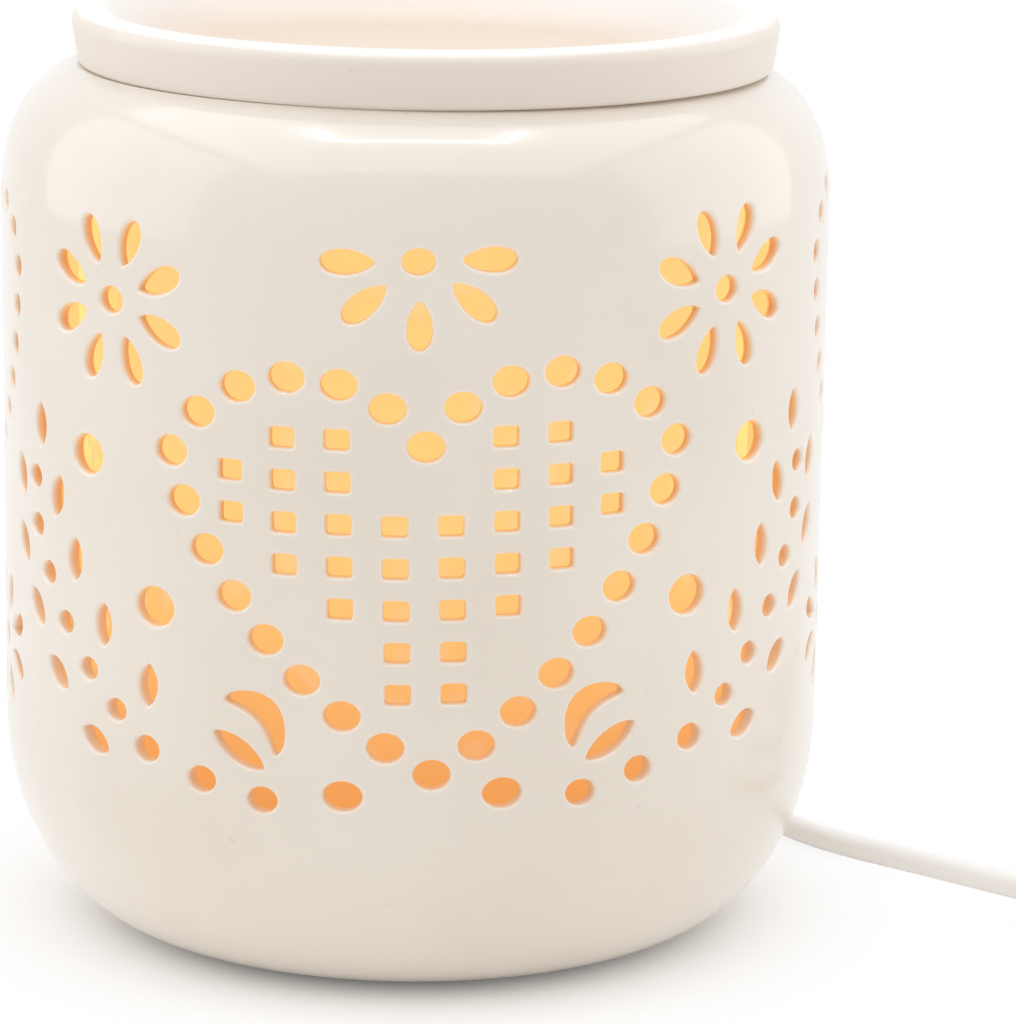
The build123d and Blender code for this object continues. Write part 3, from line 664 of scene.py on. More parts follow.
def add_turned(shell: Shell, outline: Outline, columns: int, marks: Optional[dict] = None) -> list[list[int]]:
    """Add a solid of revolution about Z; an outline that starts or ends on the axis is closed there.

    Args:
        shell: Mesh in the making.
        outline: Distance from the axis and height, walked outside upwards.
        columns: Number of points round each ring.
        marks: Lists of mark values, one for each point of the outline.

    Returns:
        Numbers of the points, ring by ring.
    """
    marks = marks or {}
    angles = np.arange(columns) * FULL_TURN / columns
    first, last = int(outline[0][0] == 0.0), len(outline) - int(outline[-1][0] == 0.0)
    row_marks = [{key: values[i] for key, values in marks.items()} for i in range(len(outline))]
    ways = outline_normals(outline)
    rows = turned_rows(shell, outline[first:last], angles, row_marks[first:last], ways[first:last])
    for near, far in zip(rows, rows[1:]):
        shell.strip(near, far)
    for end, ring, upward in ((0, rows[0], False), (-1, rows[-1], True)):
        if outline[end][0] == 0.0:
            spot, way = (0.0, 0.0, outline[end][1]), (0.0, 0.0, 1.0 if upward else -1.0)
            pole = shell.add(np.array([spot]), np.array([way]), **row_marks[end])
            shell.fan(ring, pole[0], upward)
    return rows


def add_ring(shell: Shell, outline: Outline, columns: int) -> None:
    """Add a ring of revolution about Z from a closed outline that is off the axis."""
    rows = add_turned(shell, outline, columns)
    shell.strip(rows[-1], rows[0])


BLOCK_POWER = 0.3
TAPER_POWER = 0.45
MOON_POWER = -0.3
MOON_THICKNESS = 0.88
MOON_BEND = 1.3


class HoleForm(Enum):
    """Outline of a pierced hole about its centre, in units of its half length and half width."""

    OVAL = "oval"
    BLOCK = "block"
    PETAL = "petal"
    LEAF = "leaf"
    MOON = "moon"

    def outline(self, length: float, width: float, turn: float = 0.0, count: int = 28) -> np.ndarray:
        """Points of the hole's outline, anticlockwise.

        Args:
            length: Length of the hole along its own axis.
            width: Width of the hole.
            turn: Angle of its axis in degrees.
            count: Number of points.

        Returns:
            Points across and up from the hole's centre.
        """
        t = (np.arange(count) + HALF) * FULL_TURN / count
        c, s = -np.cos(t), -np.sin(t)
        if self is HoleForm.BLOCK:
            x, y = np.sign(c) * np.abs(c) ** BLOCK_POWER, np.sign(s) * np.abs(s) ** BLOCK_POWER
        elif self is HoleForm.PETAL:
            bulge = s * np.sin(t / 2) ** TAPER_POWER
            x, y = c, bulge / np.abs(bulge).max()
        elif self is HoleForm.LEAF:
            x, y = c, s * np.abs(s) ** TAPER_POWER
        elif self is HoleForm.MOON:
            x, y = c, s * np.abs(s) ** MOON_POWER * MOON_THICKNESS + MOON_BEND * (s * s - HALF)
        else:
            x, y = c, s
        x, y = x * length / 2, y * width / 2
        a = math.radians(turn)
        return np.stack([math.cos(a) * x - math.sin(a) * y, math.sin(a) * x + math.cos(a) * y], axis=1)


@dataclass
class Hole:
    """One pierced hole: its angle from the front, its height and its outline."""

    angle: float
    height: float
    outline: np.ndarray


@dataclass
class PiercedPattern:
    """Places and sizes of the holes in the jar.

    A share is a place as a part of the jar's radius across and of its height up. Each of block_rows holds a
    column's distance from the middle in pitches, its first row, the row after its last and its rise. Each of
    leaf_shares ends with the leaf's angle in degrees.
    """

    radius: float
    foot: float
    height: float
    lean: float = math.radians(1.5)
    mid_share: float = 0.55
    heart_dot: tuple[float, float] = (0.0060, 0.0049)
    heart_steps: int = 14
    heart_shares: tuple = ((0.0, 0.649), (0.308, 0.724), (0.626, 0.624), (0.43, 0.461), (0.0, 0.284))
    heart_shift: float = 0.0007
    block: tuple[float, float] = (0.0041, 0.0033)
    column_pitch: float = 0.0090
    row_pitch: float = 0.00685
    block_top_share: float = 0.655
    block_rows: tuple = ((0.5, 2, 7, 0.0), (1.5, 0, 5, 0.0003), (2.5, 0, 4, 0.0004), (3.5, 1, 3, 0.0015))
    petal: tuple[float, float] = (0.0078, 0.0040)
    petal_stretch: float = 1.12
    flower_ring: tuple[float, float] = (0.0113, 0.0102)
    flower_eye: tuple[float, float] = (0.0052, 0.0042)
    half_flower_share: tuple[float, float] = (0.0, 0.85)
    half_flower_angles: tuple = (0, -40, -90, -140, -180)
    flower_petals: int = 8
    flower_share: tuple[float, float] = (0.784, 0.79)
    side_flower_share: tuple[float, float] = (1.41, 0.352)
    side_flower_scale: float = 0.84
    large_oval: tuple[float, float] = (0.0076, 0.0064)
    large_oval_shares: tuple = ((0.877, 0.612), (0.662, 0.455))
    garland_dot: tuple[float, float] = (0.0051, 0.0042)
    garland_dot_shares: tuple = ((0.684, 0.291), (0.529, 0.267), (0.375, 0.251))
    garland_oval: tuple[float, float] = (0.0064, 0.0049)
    garland_oval_share: tuple[float, float] = (0.184, 0.26)
    garland_shift: float = -0.0008
    moon: tuple[float, float, float] = (0.0125, 0.0051, 43.0)
    moon_share: tuple[float, float] = (0.391, 0.343)
    lens: tuple[float, float, float] = (0.0102, 0.0037, 31.0)
    lens_share: tuple[float, float] = (0.443, 0.305)
    stem_dot: tuple[float, float] = (0.0045, 0.0035)
    stem_dot_shares: tuple = (
        (1.123, 0.567), (1.116, 0.512), (1.056, 0.462), (0.979, 0.412), (0.887, 0.367), (0.791, 0.328),
    )
    leaf: tuple[float, float] = (0.0070, 0.0038)
    leaf_shares: tuple = (
        (1.089, 0.629, 88), (1.009, 0.554, 104), (0.934, 0.488, 92), (0.829, 0.422, 92), (0.687, 0.364, 94),
        (1.214, 0.561, 76), (1.203, 0.483, 62), (1.12, 0.416, 48), (1.017, 0.35, 34), (0.867, 0.287, 20),
    )
    side_dot: tuple[float, float] = (0.0034, 0.0036)
    side_heart_steps: int = 12
    side_heart_shares: tuple = ((0.0, 0.796), (0.2, 0.865), (0.325, 0.755), (0.22, 0.625), (0.0, 0.535))

    def place(self, across: float, up: float, outline: np.ndarray) -> Hole:
        """Place a hole on the jar, with the pattern's slight lean.

        Args:
            across: Distance from the front's centre line.
            up: Height above the foot.
            outline: The hole's outline about its centre.

        Returns:
            The hole.
        """
        angle = across / self.radius
        raised = self.foot + up + self.lean * self.radius * math.sin(angle)
        angle -= self.lean * (up - self.mid_share * self.height) * math.cos(angle) / self.radius
        return Hole(angle, raised, outline)

    def pair(self, share: Sequence[float], outline: np.ndarray, shift: float = 0.0) -> list[Hole]:
        """Place a hole and its mirror image across the front's centre line.

        Args:
            share: Place of the hole.
            outline: Its outline about its centre.
            shift: Distance by which both are moved sideways.

        Returns:
            The two holes.
        """
        across, up = share[0] * self.radius, share[1] * self.height
        mirrored = (outline * np.array([-1.0, 1.0]))[::-1]
        return [self.place(shift + across, up, outline), self.place(shift - across, up, mirrored)]

    def heart_places(self, shares: Sequence[tuple[float, float]], steps: int) -> list[tuple[float, float]]:
        """Evenly spaced places from a heart's dip, over one lobe, to its tip.

        Args:
            shares: Dip, lobe, cheek, flank and tip of the heart.
            steps: Number of steps between the places.

        Returns:
            The places as shares.
        """
        scale = np.array([self.radius, self.height])
        dip, lobe, cheek, flank, tip = [np.array(share) * scale for share in shares]
        path = np.concatenate([self.arc(dip, lobe, cheek), self.arc(cheek, flank, tip)[1:]])
        run = np.concatenate([[0.0], np.cumsum(np.linalg.norm(np.diff(path, axis=0), axis=1))])
        marks = np.linspace(0.0, run[-1], steps + 1)
        places = np.stack([np.interp(marks, run, path[:, 0]), np.interp(marks, run, path[:, 1])], axis=1)
        return [tuple(spot) for spot in places / scale]

    @staticmethod
    def arc(start: np.ndarray, middle: np.ndarray, end: np.ndarray, steps: int = 60) -> np.ndarray:
        """Points along the circle through three points.

        Args:
            start: First point of the arc.
            middle: A point on the arc.
            end: Last point of the arc.
            steps: Number of points.

        Returns:
            The points in order.
        """
        rows = np.array([middle - start, end - start]) * 2
        squares = np.array([middle @ middle - start @ start, end @ end - start @ start])
        centre = np.linalg.solve(rows, squares)
        turns = np.unwrap([math.atan2(*(spot - centre)[::-1]) for spot in (start, middle, end)])
        radius = np.linalg.norm(start - centre)
        sweep = np.linspace(turns[0], turns[2], steps)
        return centre + radius * np.stack([np.cos(sweep), np.sin(sweep)], axis=1)

    def flower(self, share: tuple[float, float], angles: Sequence[float], scale: float = 1.0) -> list[Hole]:
        """Holes of a flower: petals round an eye, with the petals that lie flat a little longer.

        Args:
            share: Place of the eye.
            angles: Angles of the petals in degrees.
            scale: Size of the flower against a full one.

        Returns:
            The eye and the petals.
        """
        across, up = share[0] * self.radius, share[1] * self.height
        holes = [self.place(across, up, HoleForm.OVAL.outline(*[size * scale for size in self.flower_eye]))]
        for angle in angles:
            c, s = math.cos(math.radians(angle)), math.sin(math.radians(angle))
            length = self.petal[0] * scale * (self.petal_stretch if abs(c) > abs(s) else 1.0)
            petal = HoleForm.PETAL.outline(length, self.petal[1] * scale, angle)
            spot = (across + self.flower_ring[0] * scale * c, up + self.flower_ring[1] * scale * s)
            holes.append(self.place(*spot, petal))
        return holes

    def holes(self) -> list[Hole]:
        """All holes of the jar's front and sides.

        Returns:
            The holes: heart, blocks, flowers, ovals, moons, leaves and side hearts.
        """
        dot = HoleForm.OVAL.outline(*self.heart_dot)
        window = HoleForm.BLOCK.outline(*self.block)
        places = self.heart_places(self.heart_shares, self.heart_steps)
        found = [self.pair(share, dot, self.heart_shift)[0] for share in (places[0], places[-1])]
        for share in places[1:-1]:
            found += self.pair(share, dot, self.heart_shift)
        for column, first, last, rise in self.block_rows:
            for row in range(first, last):
                up = self.block_top_share + (rise - row * self.row_pitch) / self.height
                found += self.pair((column * self.column_pitch / self.radius, up), window)
        found += self.flower(self.half_flower_share, self.half_flower_angles)
        step = TURN_DEGREES / self.flower_petals
        around = [(count + HALF) * step for count in range(self.flower_petals)]
        for side in (1, -1):
            found += self.flower((side * self.flower_share[0], self.flower_share[1]), around)
            side_share = (side * self.side_flower_share[0], self.side_flower_share[1])
            found += self.flower(side_share, around, self.side_flower_scale)
        ovals = [(share, self.large_oval, 0.0) for share in self.large_oval_shares]
        ovals += [(share, self.garland_dot, self.garland_shift) for share in self.garland_dot_shares]
        ovals += [(self.garland_oval_share, self.garland_oval, self.garland_shift)]
        ovals += [(share, self.stem_dot, 0.0) for share in self.stem_dot_shares]
        for share, size, shift in ovals:
            found += self.pair(share, HoleForm.OVAL.outline(*size), shift)
        found += self.pair(self.moon_share, HoleForm.MOON.outline(*self.moon))
        found += self.pair(self.lens_share, HoleForm.LEAF.outline(*self.lens))
        for across, up, turn in self.leaf_shares:
            found += self.pair((across, up), HoleForm.LEAF.outline(*self.leaf, turn))
        side_dot = HoleForm.OVAL.outline(*self.side_dot)
        places = self.heart_places(self.side_heart_shares, self.side_heart_steps)
        for offset, up in places:
            found += self.pair((math.pi / 2 - offset, up), side_dot)
        for offset, up in places[1:-1]:
            found += self.pair((math.pi / 2 + offset, up), side_dot)
        return found


@dataclass
class PiercedJar:
    """Glazed jar with an oval corner and shoulder, a mouth, an open base and holes with rounded lips."""

    wall: float = 0.0026
    foot_radius: float = 0.0465
    corner_rise: float = 0.0354
    shoulder_start: float = 0.1245
    shoulder_run: float = 0.020
    shoulder_rise: float = 0.0239
    shoulder_power: float = 2.45
    shoulder_reach: float = 0.385
    mouth_radius: float = 0.052
    rim_depth: float = 0.005
    rim_round: float = 0.0012
    floor_top: float = 0.0075
    recess_top: float = 0.004
    recess_radius: float = 0.0435
    opening_radius: float = 0.036
    edge_round: float = 0.0006
    lip: float = 0.00065
    flare_low: float = 0.0001
    flare_high: float = 0.0008
    lip_turns: tuple[float, float] = (math.pi / 6, math.pi / 3)
    # Shares of painted lamp glow and painted warmth on the holes' lips, tunnels and inner edges.
    lip_painted_glow: float = 0.05
    lip_warmth: float = 0.25
    middle_painted_glow: float = 0.03
    middle_warmth: float = 0.8
    inner_painted_glow: float = 0.08
    rim_painted_glow: float = 0.3
    floor_painted_glow_reach: float = 1.2
    # Heights over which the holes flare wider and take more painted warmth.
    warm_low: float = 0.030
    warm_high: float = 0.085
    low_hole_warmth_share: float = 0.1
    low_edge: float = 0.0065
    high_edge: float = 0.135
    columns: int = 144
    seam_angle: float = math.radians(140.0)
    grid: float = 0.0030
    clear_share: float = 0.45
    weld: float = 1e-8
    rim_blend: int = 6
    lead_hole_radius: float = 0.0042
    lead_height: float = 0.012
    samples: int = 90

    def __post_init__(self) -> None:
        """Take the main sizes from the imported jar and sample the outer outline."""
        low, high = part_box("body_shell")
        self.radius, self.foot, self.rim = high.x, low.z, high.z
        corner = np.linspace(0.0, math.pi / 2, self.samples)
        inner_end = math.acos(self.shoulder_reach ** (self.shoulder_power / 2))
        shoulder = np.linspace(0.0, inner_end, self.samples)
        bend = 2 / self.shoulder_power
        level, lift = np.cos(shoulder) ** bend, np.sin(shoulder) ** bend
        centre = self.radius - self.shoulder_run
        corner_top = self.foot + self.corner_rise
        reach = self.radius - self.foot_radius
        r = np.concatenate([self.foot_radius + reach * np.sin(corner), centre + self.shoulder_run * level])
        z = np.concatenate([
            corner_top - self.corner_rise * np.cos(corner), self.shoulder_start + self.shoulder_rise * lift,
        ])
        self.outline = np.stack([r, z], axis=1)
        self.ways = np.concatenate([
            np.stack([np.sin(corner) / reach, -np.cos(corner) / self.corner_rise], axis=1),
            np.stack([
                level ** (self.shoulder_power - 1) / self.shoulder_run,
                lift ** (self.shoulder_power - 1) / self.shoulder_rise,
            ], axis=1),
        ])
        self.ways /= np.linalg.norm(self.ways, axis=1, keepdims=True)
        self.run = np.concatenate([[0.0], np.cumsum(np.linalg.norm(np.diff(self.outline, axis=0), axis=1))])
        self.inner = self.outline - self.ways * self.wall
        self.angles = np.linspace(self.seam_angle - FULL_TURN, self.seam_angle, self.columns, endpoint=False)

    def along(self, height: Any) -> Any:
        """Distance along the outer outline at a height."""
        return np.interp(height, self.outline[:, 1], self.run)

    def spot(self, run: np.ndarray) -> tuple[np.ndarray, np.ndarray]:
        """Look up places on the outer outline.

        Args:
            run: Distances along the outline.

        Returns:
            Points and outward directions.
        """
        points = np.stack([np.interp(run, self.run, self.outline[:, k]) for k in (0, 1)], axis=-1)
        ways = np.stack([np.interp(run, self.run, self.ways[:, k]) for k in (0, 1)], axis=-1)
        return points, ways / np.linalg.norm(ways, axis=-1, keepdims=True)

    def wrap(self, flat: np.ndarray, depth: float) -> tuple[np.ndarray, np.ndarray]:
        """Wrap flat places round the jar's wall.

        Args:
            flat: Distance across and distance along the outline.
            depth: Depth below the outer face.

        Returns:
            Points and outward normals.
        """
        points, ways = self.spot(flat[:, 1])
        angle = flat[:, 0] / self.radius
        r, z = points[:, 0] - ways[:, 0] * depth, points[:, 1] - ways[:, 1] * depth
        sines, cosines = np.sin(angle), -np.cos(angle)
        places = np.stack([r * sines, r * cosines, z], axis=1)
        normals = np.stack([ways[:, 0] * sines, ways[:, 0] * cosines, ways[:, 1]], axis=1)
        return places, normals

    def flat_holes(self) -> list[tuple[np.ndarray, np.ndarray]]:
        """Lay out all holes on the unrolled wall, with the lead's hole at the back.

        Returns:
            Each hole's outline and its outward directions.
        """
        pattern = PiercedPattern(self.radius, self.foot, self.rim - self.foot)
        holes = pattern.holes()
        lead_point, lead_way = self.spot(np.array(self.along(self.lead_height)))
        lead = HoleForm.OVAL.outline(
            2 * self.lead_hole_radius * self.radius / lead_point[0], 2 * self.lead_hole_radius / lead_way[0]
        )
        holes.append(Hole(-math.pi, self.lead_height, lead))
        found = []
        for hole in holes:
            centre = np.array([hole.angle * self.radius, self.along(hole.height)])
            if hole.angle > self.seam_angle:
                centre[0] -= FULL_TURN * self.radius
            way = np.roll(hole.outline, -1, axis=0) - np.roll(hole.outline, 1, axis=0)
            way /= np.linalg.norm(way, axis=1, keepdims=True)
            found.append((centre + hole.outline, np.stack([way[:, 1], -way[:, 0]], axis=1)))
        return found

    def flat_wall(self, rings: list[np.ndarray]) -> tuple[np.ndarray, list[list[int]], list[list[int]]]:
        """Triangles of the unrolled wall between its edges and the rings of its holes.

        Args:
            rings: Outlines of the holes at the outer face.

        Returns:
            Flat points, triangles and the numbers of each ring's points.
        """
        right = self.seam_angle * self.radius
        left = right - FULL_TURN * self.radius
        low, high = float(self.along(self.low_edge)), float(self.along(self.high_edge))
        across = np.linspace(left, right, self.columns + 1)
        up = np.linspace(low, high, int((high - low) / self.grid) + 1)
        edge = [(x, low) for x in across[:-1]] + [(right, y) for y in up[:-1]]
        edge += [(x, high) for x in across[:0:-1]] + [(left, y) for y in up[:0:-1]]
        outline_points = np.concatenate(rings)
        inner = []
        for row, y in enumerate(up[1:-1]):
            shift = (row % 2) * HALF * self.grid
            inner += [(x + shift, y) for x in np.arange(left + self.grid, right - self.grid, self.grid)]
        spread = np.array(inner)
        near = np.array([np.min(np.sum((outline_points - spot) ** 2, axis=1)) for spot in spread])
        spread = spread[near > (self.grid * self.clear_share) ** 2]
        points = [*edge, *map(tuple, outline_points), *map(tuple, spread)]
        faces, first = [], len(edge)
        for ring in rings:
            faces.append(list(range(first, first + len(ring))))
            first += len(ring)
        border = [(i, (i + 1) % len(edge)) for i in range(len(edge))]
        corners = [Vector(p) for p in points]
        places, _, found, sources, _, owners = delaunay_2d_cdt(corners, border, faces, 0, self.weld)
        flat = np.array([tuple(p) for p in places])
        number = {old: new for new, olds in enumerate(sources) for old in olds}
        kept = [list(face) for face, holes in zip(found, owners) if not holes]
        for face in kept:
            a, b, c = flat[face]
            if (b[0] - a[0]) * (c[1] - a[1]) < (b[1] - a[1]) * (c[0] - a[0]):
                face.reverse()
        self.low_row = [number[i] for i in range(self.columns)]
        top = self.columns + len(up) - 1
        self.high_row = [number[top + self.columns - i] for i in range(self.columns)]
        right_side = [number[self.columns + i] for i in range(len(up))]
        left_side = [number[0]] + [number[top + self.columns + len(up) - 1 - i] for i in range(1, len(up))]
        self.seam = dict(zip(right_side, left_side))
        return flat, kept, [[number[i] for i in face] for face in faces]

    def build(self) -> bpy.types.Object:
        """Make the jar's mesh and glaze.

        Returns:
            The finished jar.
        """
        holes = self.flat_holes()
        rings = [ring + way * self.lip for ring, way in holes]
        flat, triangles, ring_points = self.flat_wall(rings)
        shell = Shell(["lit", "warm"])
        outer = shell.add(*self.wrap(flat, 0.0))
        inner_flat = flat.copy()
        for (ring, way), numbers in zip(holes, ring_points):
            inner_flat[numbers] = ring + way * self.flare(ring)
        places, normals = self.wrap(inner_flat, self.wall)
        # The inner faces carry the full painted lamp glow, and the inner edge of each hole carries a part of
        # it.
        inner = shell.add(places, -normals, lit=1.0)
        for numbers in ring_points:
            for number in numbers:
                shell.marks["lit"][inner[number]] = self.rim_painted_glow
        joined = [self.seam.get(i, i) for i in range(len(flat))]
        for triangle in triangles:
            corners = [joined[i] for i in triangle]
            shell.faces.append([outer[i] for i in corners])
            shell.faces.append([inner[i] for i in reversed(corners)])
        for (ring, way), numbers in zip(holes, ring_points):
            self.line_hole(shell, ring, way, [outer[i] for i in numbers], [inner[i] for i in numbers])
        high, low = [[joined[i] for i in row] for row in (self.high_row, self.low_row)]
        self.close_top(shell, [outer[i] for i in high], [inner[i] for i in high])
        self.close_foot(shell, [inner[i] for i in low], [outer[i] for i in low])
        return shell.piece("pierced_jar", JAR_GLAZE.material())

    def raised(self, ring: np.ndarray) -> float:
        """Share of the way from the jar's lower holes to its upper ones, which flare wider and take more
        painted warmth.
        """
        height = np.interp(ring[:, 1].mean(), self.run, self.outline[:, 1])
        return float(np.clip((height - self.warm_low) / (self.warm_high - self.warm_low), 0.0, 1.0))

    def flare(self, ring: np.ndarray) -> float:
        """How far a hole widens at the inner face."""
        return self.flare_low + (self.flare_high - self.flare_low) * self.raised(ring)

    def line_hole(
        self, shell: Shell, ring: np.ndarray, way: np.ndarray, outer: list[int], inner: list[int]
    ) -> None:
        """Line one hole from its rounded lip to the inside of the wall, each row with its share of painted
        lamp glow and painted warmth.

        Args:
            shell: Mesh in the making.
            ring: The hole's outline on the unrolled wall.
            way: Outward directions of the outline.
            outer: Points of the ring at the outer face.
            inner: Points of the ring at the inner face.
        """
        straight = math.pi / 2
        rows = [(self.lip * (1 - math.sin(turn)), self.lip * (1 - math.cos(turn)), turn, self.lip_painted_glow, 0.0)
                for turn in self.lip_turns]
        rows += [
            (0.0, self.lip, straight, self.lip_painted_glow, self.lip_warmth),
            (0.0, self.wall * HALF, straight, self.middle_painted_glow, self.middle_warmth),
            (0.0, self.wall - self.flare(ring), straight, self.inner_painted_glow, 1.0),
        ]
        # Lower holes take less painted warmth, as less lamp light reaches them.
        tint = self.low_hole_warmth_share + (1 - self.low_hole_warmth_share) * self.raised(ring)
        last = outer
        for spread, depth, turn, lit, warm in rows:
            flat = ring + way * spread
            places, normals = self.wrap(flat, depth)
            ahead, _ = self.wrap(flat + way * self.lip, depth)
            inward = places - ahead
            inward /= np.linalg.norm(inward, axis=1, keepdims=True)
            ways = normals * math.cos(turn) + inward * math.sin(turn)
            row = shell.add(places, ways, lit=lit, warm=warm * tint)
            shell.strip(last, row)
            last = row
        shell.strip(last, inner)

    def close_top(self, shell: Shell, outer: list[int], inner: list[int]) -> None:
        """Turn the shoulder, the rim and the mouth above the pierced wall.

        Args:
            shell: Mesh in the making.
            outer: Top ring of the wall's outer face.
            inner: Top ring of its inner face.
        """
        ledge = self.rim - self.rim_depth
        above = [tuple(p) for p in self.outline if p[1] > self.high_edge]
        under = [tuple(p) for p in self.inner if self.high_edge < p[1] < ledge - self.edge_round]
        ledge_radius = float(np.interp(ledge, self.inner[:, 1], self.inner[:, 0]))
        edge, kept = above[-1], above[:-self.rim_blend]
        top = kept + arc_corners([
            (*kept[-1], 0.0), (*edge, self.rim_round), (edge[0], self.rim, self.rim_round),
            (self.mouth_radius, self.rim, self.edge_round), (self.mouth_radius, ledge, self.edge_round),
            (ledge_radius, ledge, self.edge_round), (*under[-1], 0.0),
        ])[1:-1] + under[::-1]
        # The inner shoulder under the ledge carries the full painted lamp glow.
        self.join(shell, top, outer, inner, [0.0] * (len(top) - len(under)) + [1.0] * len(under))

    def close_foot(self, shell: Shell, inner: list[int], outer: list[int]) -> None:
        """Turn the floor, the opening and the foot below the pierced wall.

        Args:
            shell: Mesh in the making.
            inner: Lowest ring of the wall's inner face.
            outer: Lowest ring of its outer face.
        """
        edge_radius = math.hypot(*shell.points[inner[0]][:2])
        below = [tuple(p) for p in self.outline if p[1] < self.low_edge]
        corner = [tuple(p) for p in self.inner
                  if p[1] > self.floor_top + self.edge_round and p[0] < edge_radius]
        floor_radius = float(np.interp(self.floor_top, self.inner[:, 1], self.inner[:, 0]))
        foot = corner[::-1] + arc_corners([
            (*corner[0], 0.0), (floor_radius, self.floor_top, self.edge_round),
            (self.opening_radius, self.floor_top, self.edge_round),
            (self.opening_radius, self.recess_top, self.edge_round),
            (self.recess_radius, self.recess_top, self.edge_round),
            (self.recess_radius, self.foot, self.edge_round),
            (self.foot_radius, self.foot, self.edge_round), (*below[1], 0.0),
        ])[1:-1] + below[2:]
        # The inner floor near the opening carries the full painted lamp glow.
        lowest, reach = self.floor_top - self.edge_round * HALF, floor_radius * self.floor_painted_glow_reach
        lit = [float(z > lowest and r < reach) for r, z in foot]
        lit[-len(below):] = [0.0] * len(below)
        self.join(shell, foot, inner, outer, lit)

    def join(
        self, shell: Shell, outline: Outline, first: list[int], last: list[int], lit: list[float]
    ) -> None:
        """Turn an outline between two rings that are already in the mesh.

        Args:
            shell: Mesh in the making.
            outline: The outline to turn.
            first: Ring before the outline.
            last: Ring after it.
            lit: Share of the painted lamp glow at each point of the outline.
        """
        rows = turned_rows(shell, outline, self.angles, [{"lit": share} for share in lit])
        chain = [first, *rows, last]
        for near, far in zip(chain, chain[1:]):
            shell.strip(near, far)


@dataclass
class Dish:
    """Lift-off dish with a rounded lip, a shallow bowl and a spigot that sits in the jar's mouth."""

    lip_width: float = 0.006
    flank_run: float = 0.0098
    bowl_depth: float = 0.0087
    spigot_radius: float = 0.0505
    side_height: float = 0.0092
    outer_round: float = 0.0022
    inner_round: float = 0.0026
    foot_round: float = 0.0008
    bowl_round: float = 0.045
    seat_shift: float = 0.0014
    draft: float = 0.0013
    # Faint painted lamp glow on the seat ring, in the gap under the dish's edge.
    seat_painted_glow: float = 0.02
    columns: int = 160
    corner_steps: int = 10

    def build(self) -> bpy.types.Object:
        """Make the dish's mesh and glaze.

        Returns:
            The finished dish.
        """
        low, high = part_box("dish")
        radius, top = high.x, high.z
        seat, floor = top - self.side_height, top - self.bowl_depth
        lip = radius - self.lip_width
        bowl = lip - self.flank_run
        outline = arc_corners([
            (0.0, low.z, 0.0), (self.spigot_radius, low.z, self.foot_round),
            (self.spigot_radius, seat, self.foot_round / 2), (radius - self.draft, seat, self.foot_round),
            (radius, top, self.outer_round), (lip, top, self.inner_round), (bowl, floor, self.bowl_round),
            (bowl * HALF, floor, self.bowl_round), (0.0, floor, 0.0),
        ], self.corner_steps)
        spigot_top, seat_edge = seat - self.foot_round / 2, seat + self.foot_round / 4
        lip_edge = top - self.outer_round / 4
        # Painted lamp glow: full on the spigot's underside, faint on the seat ring.
        under = [1.0 if z < spigot_top else self.seat_painted_glow * (z < seat_edge) for _, z in outline]
        inside = [float(z > seat and (r < lip or z > lip_edge)) for r, z in outline]
        shell = Shell(["lit", "bowl"])
        add_turned(shell, outline, self.columns, {"lit": under, "bowl": inside})
        shell.turn(Matrix.Translation((self.seat_shift, 0.0, 0.0)))
        return shell.piece("glazed_dish", DISH_GLAZE.material())


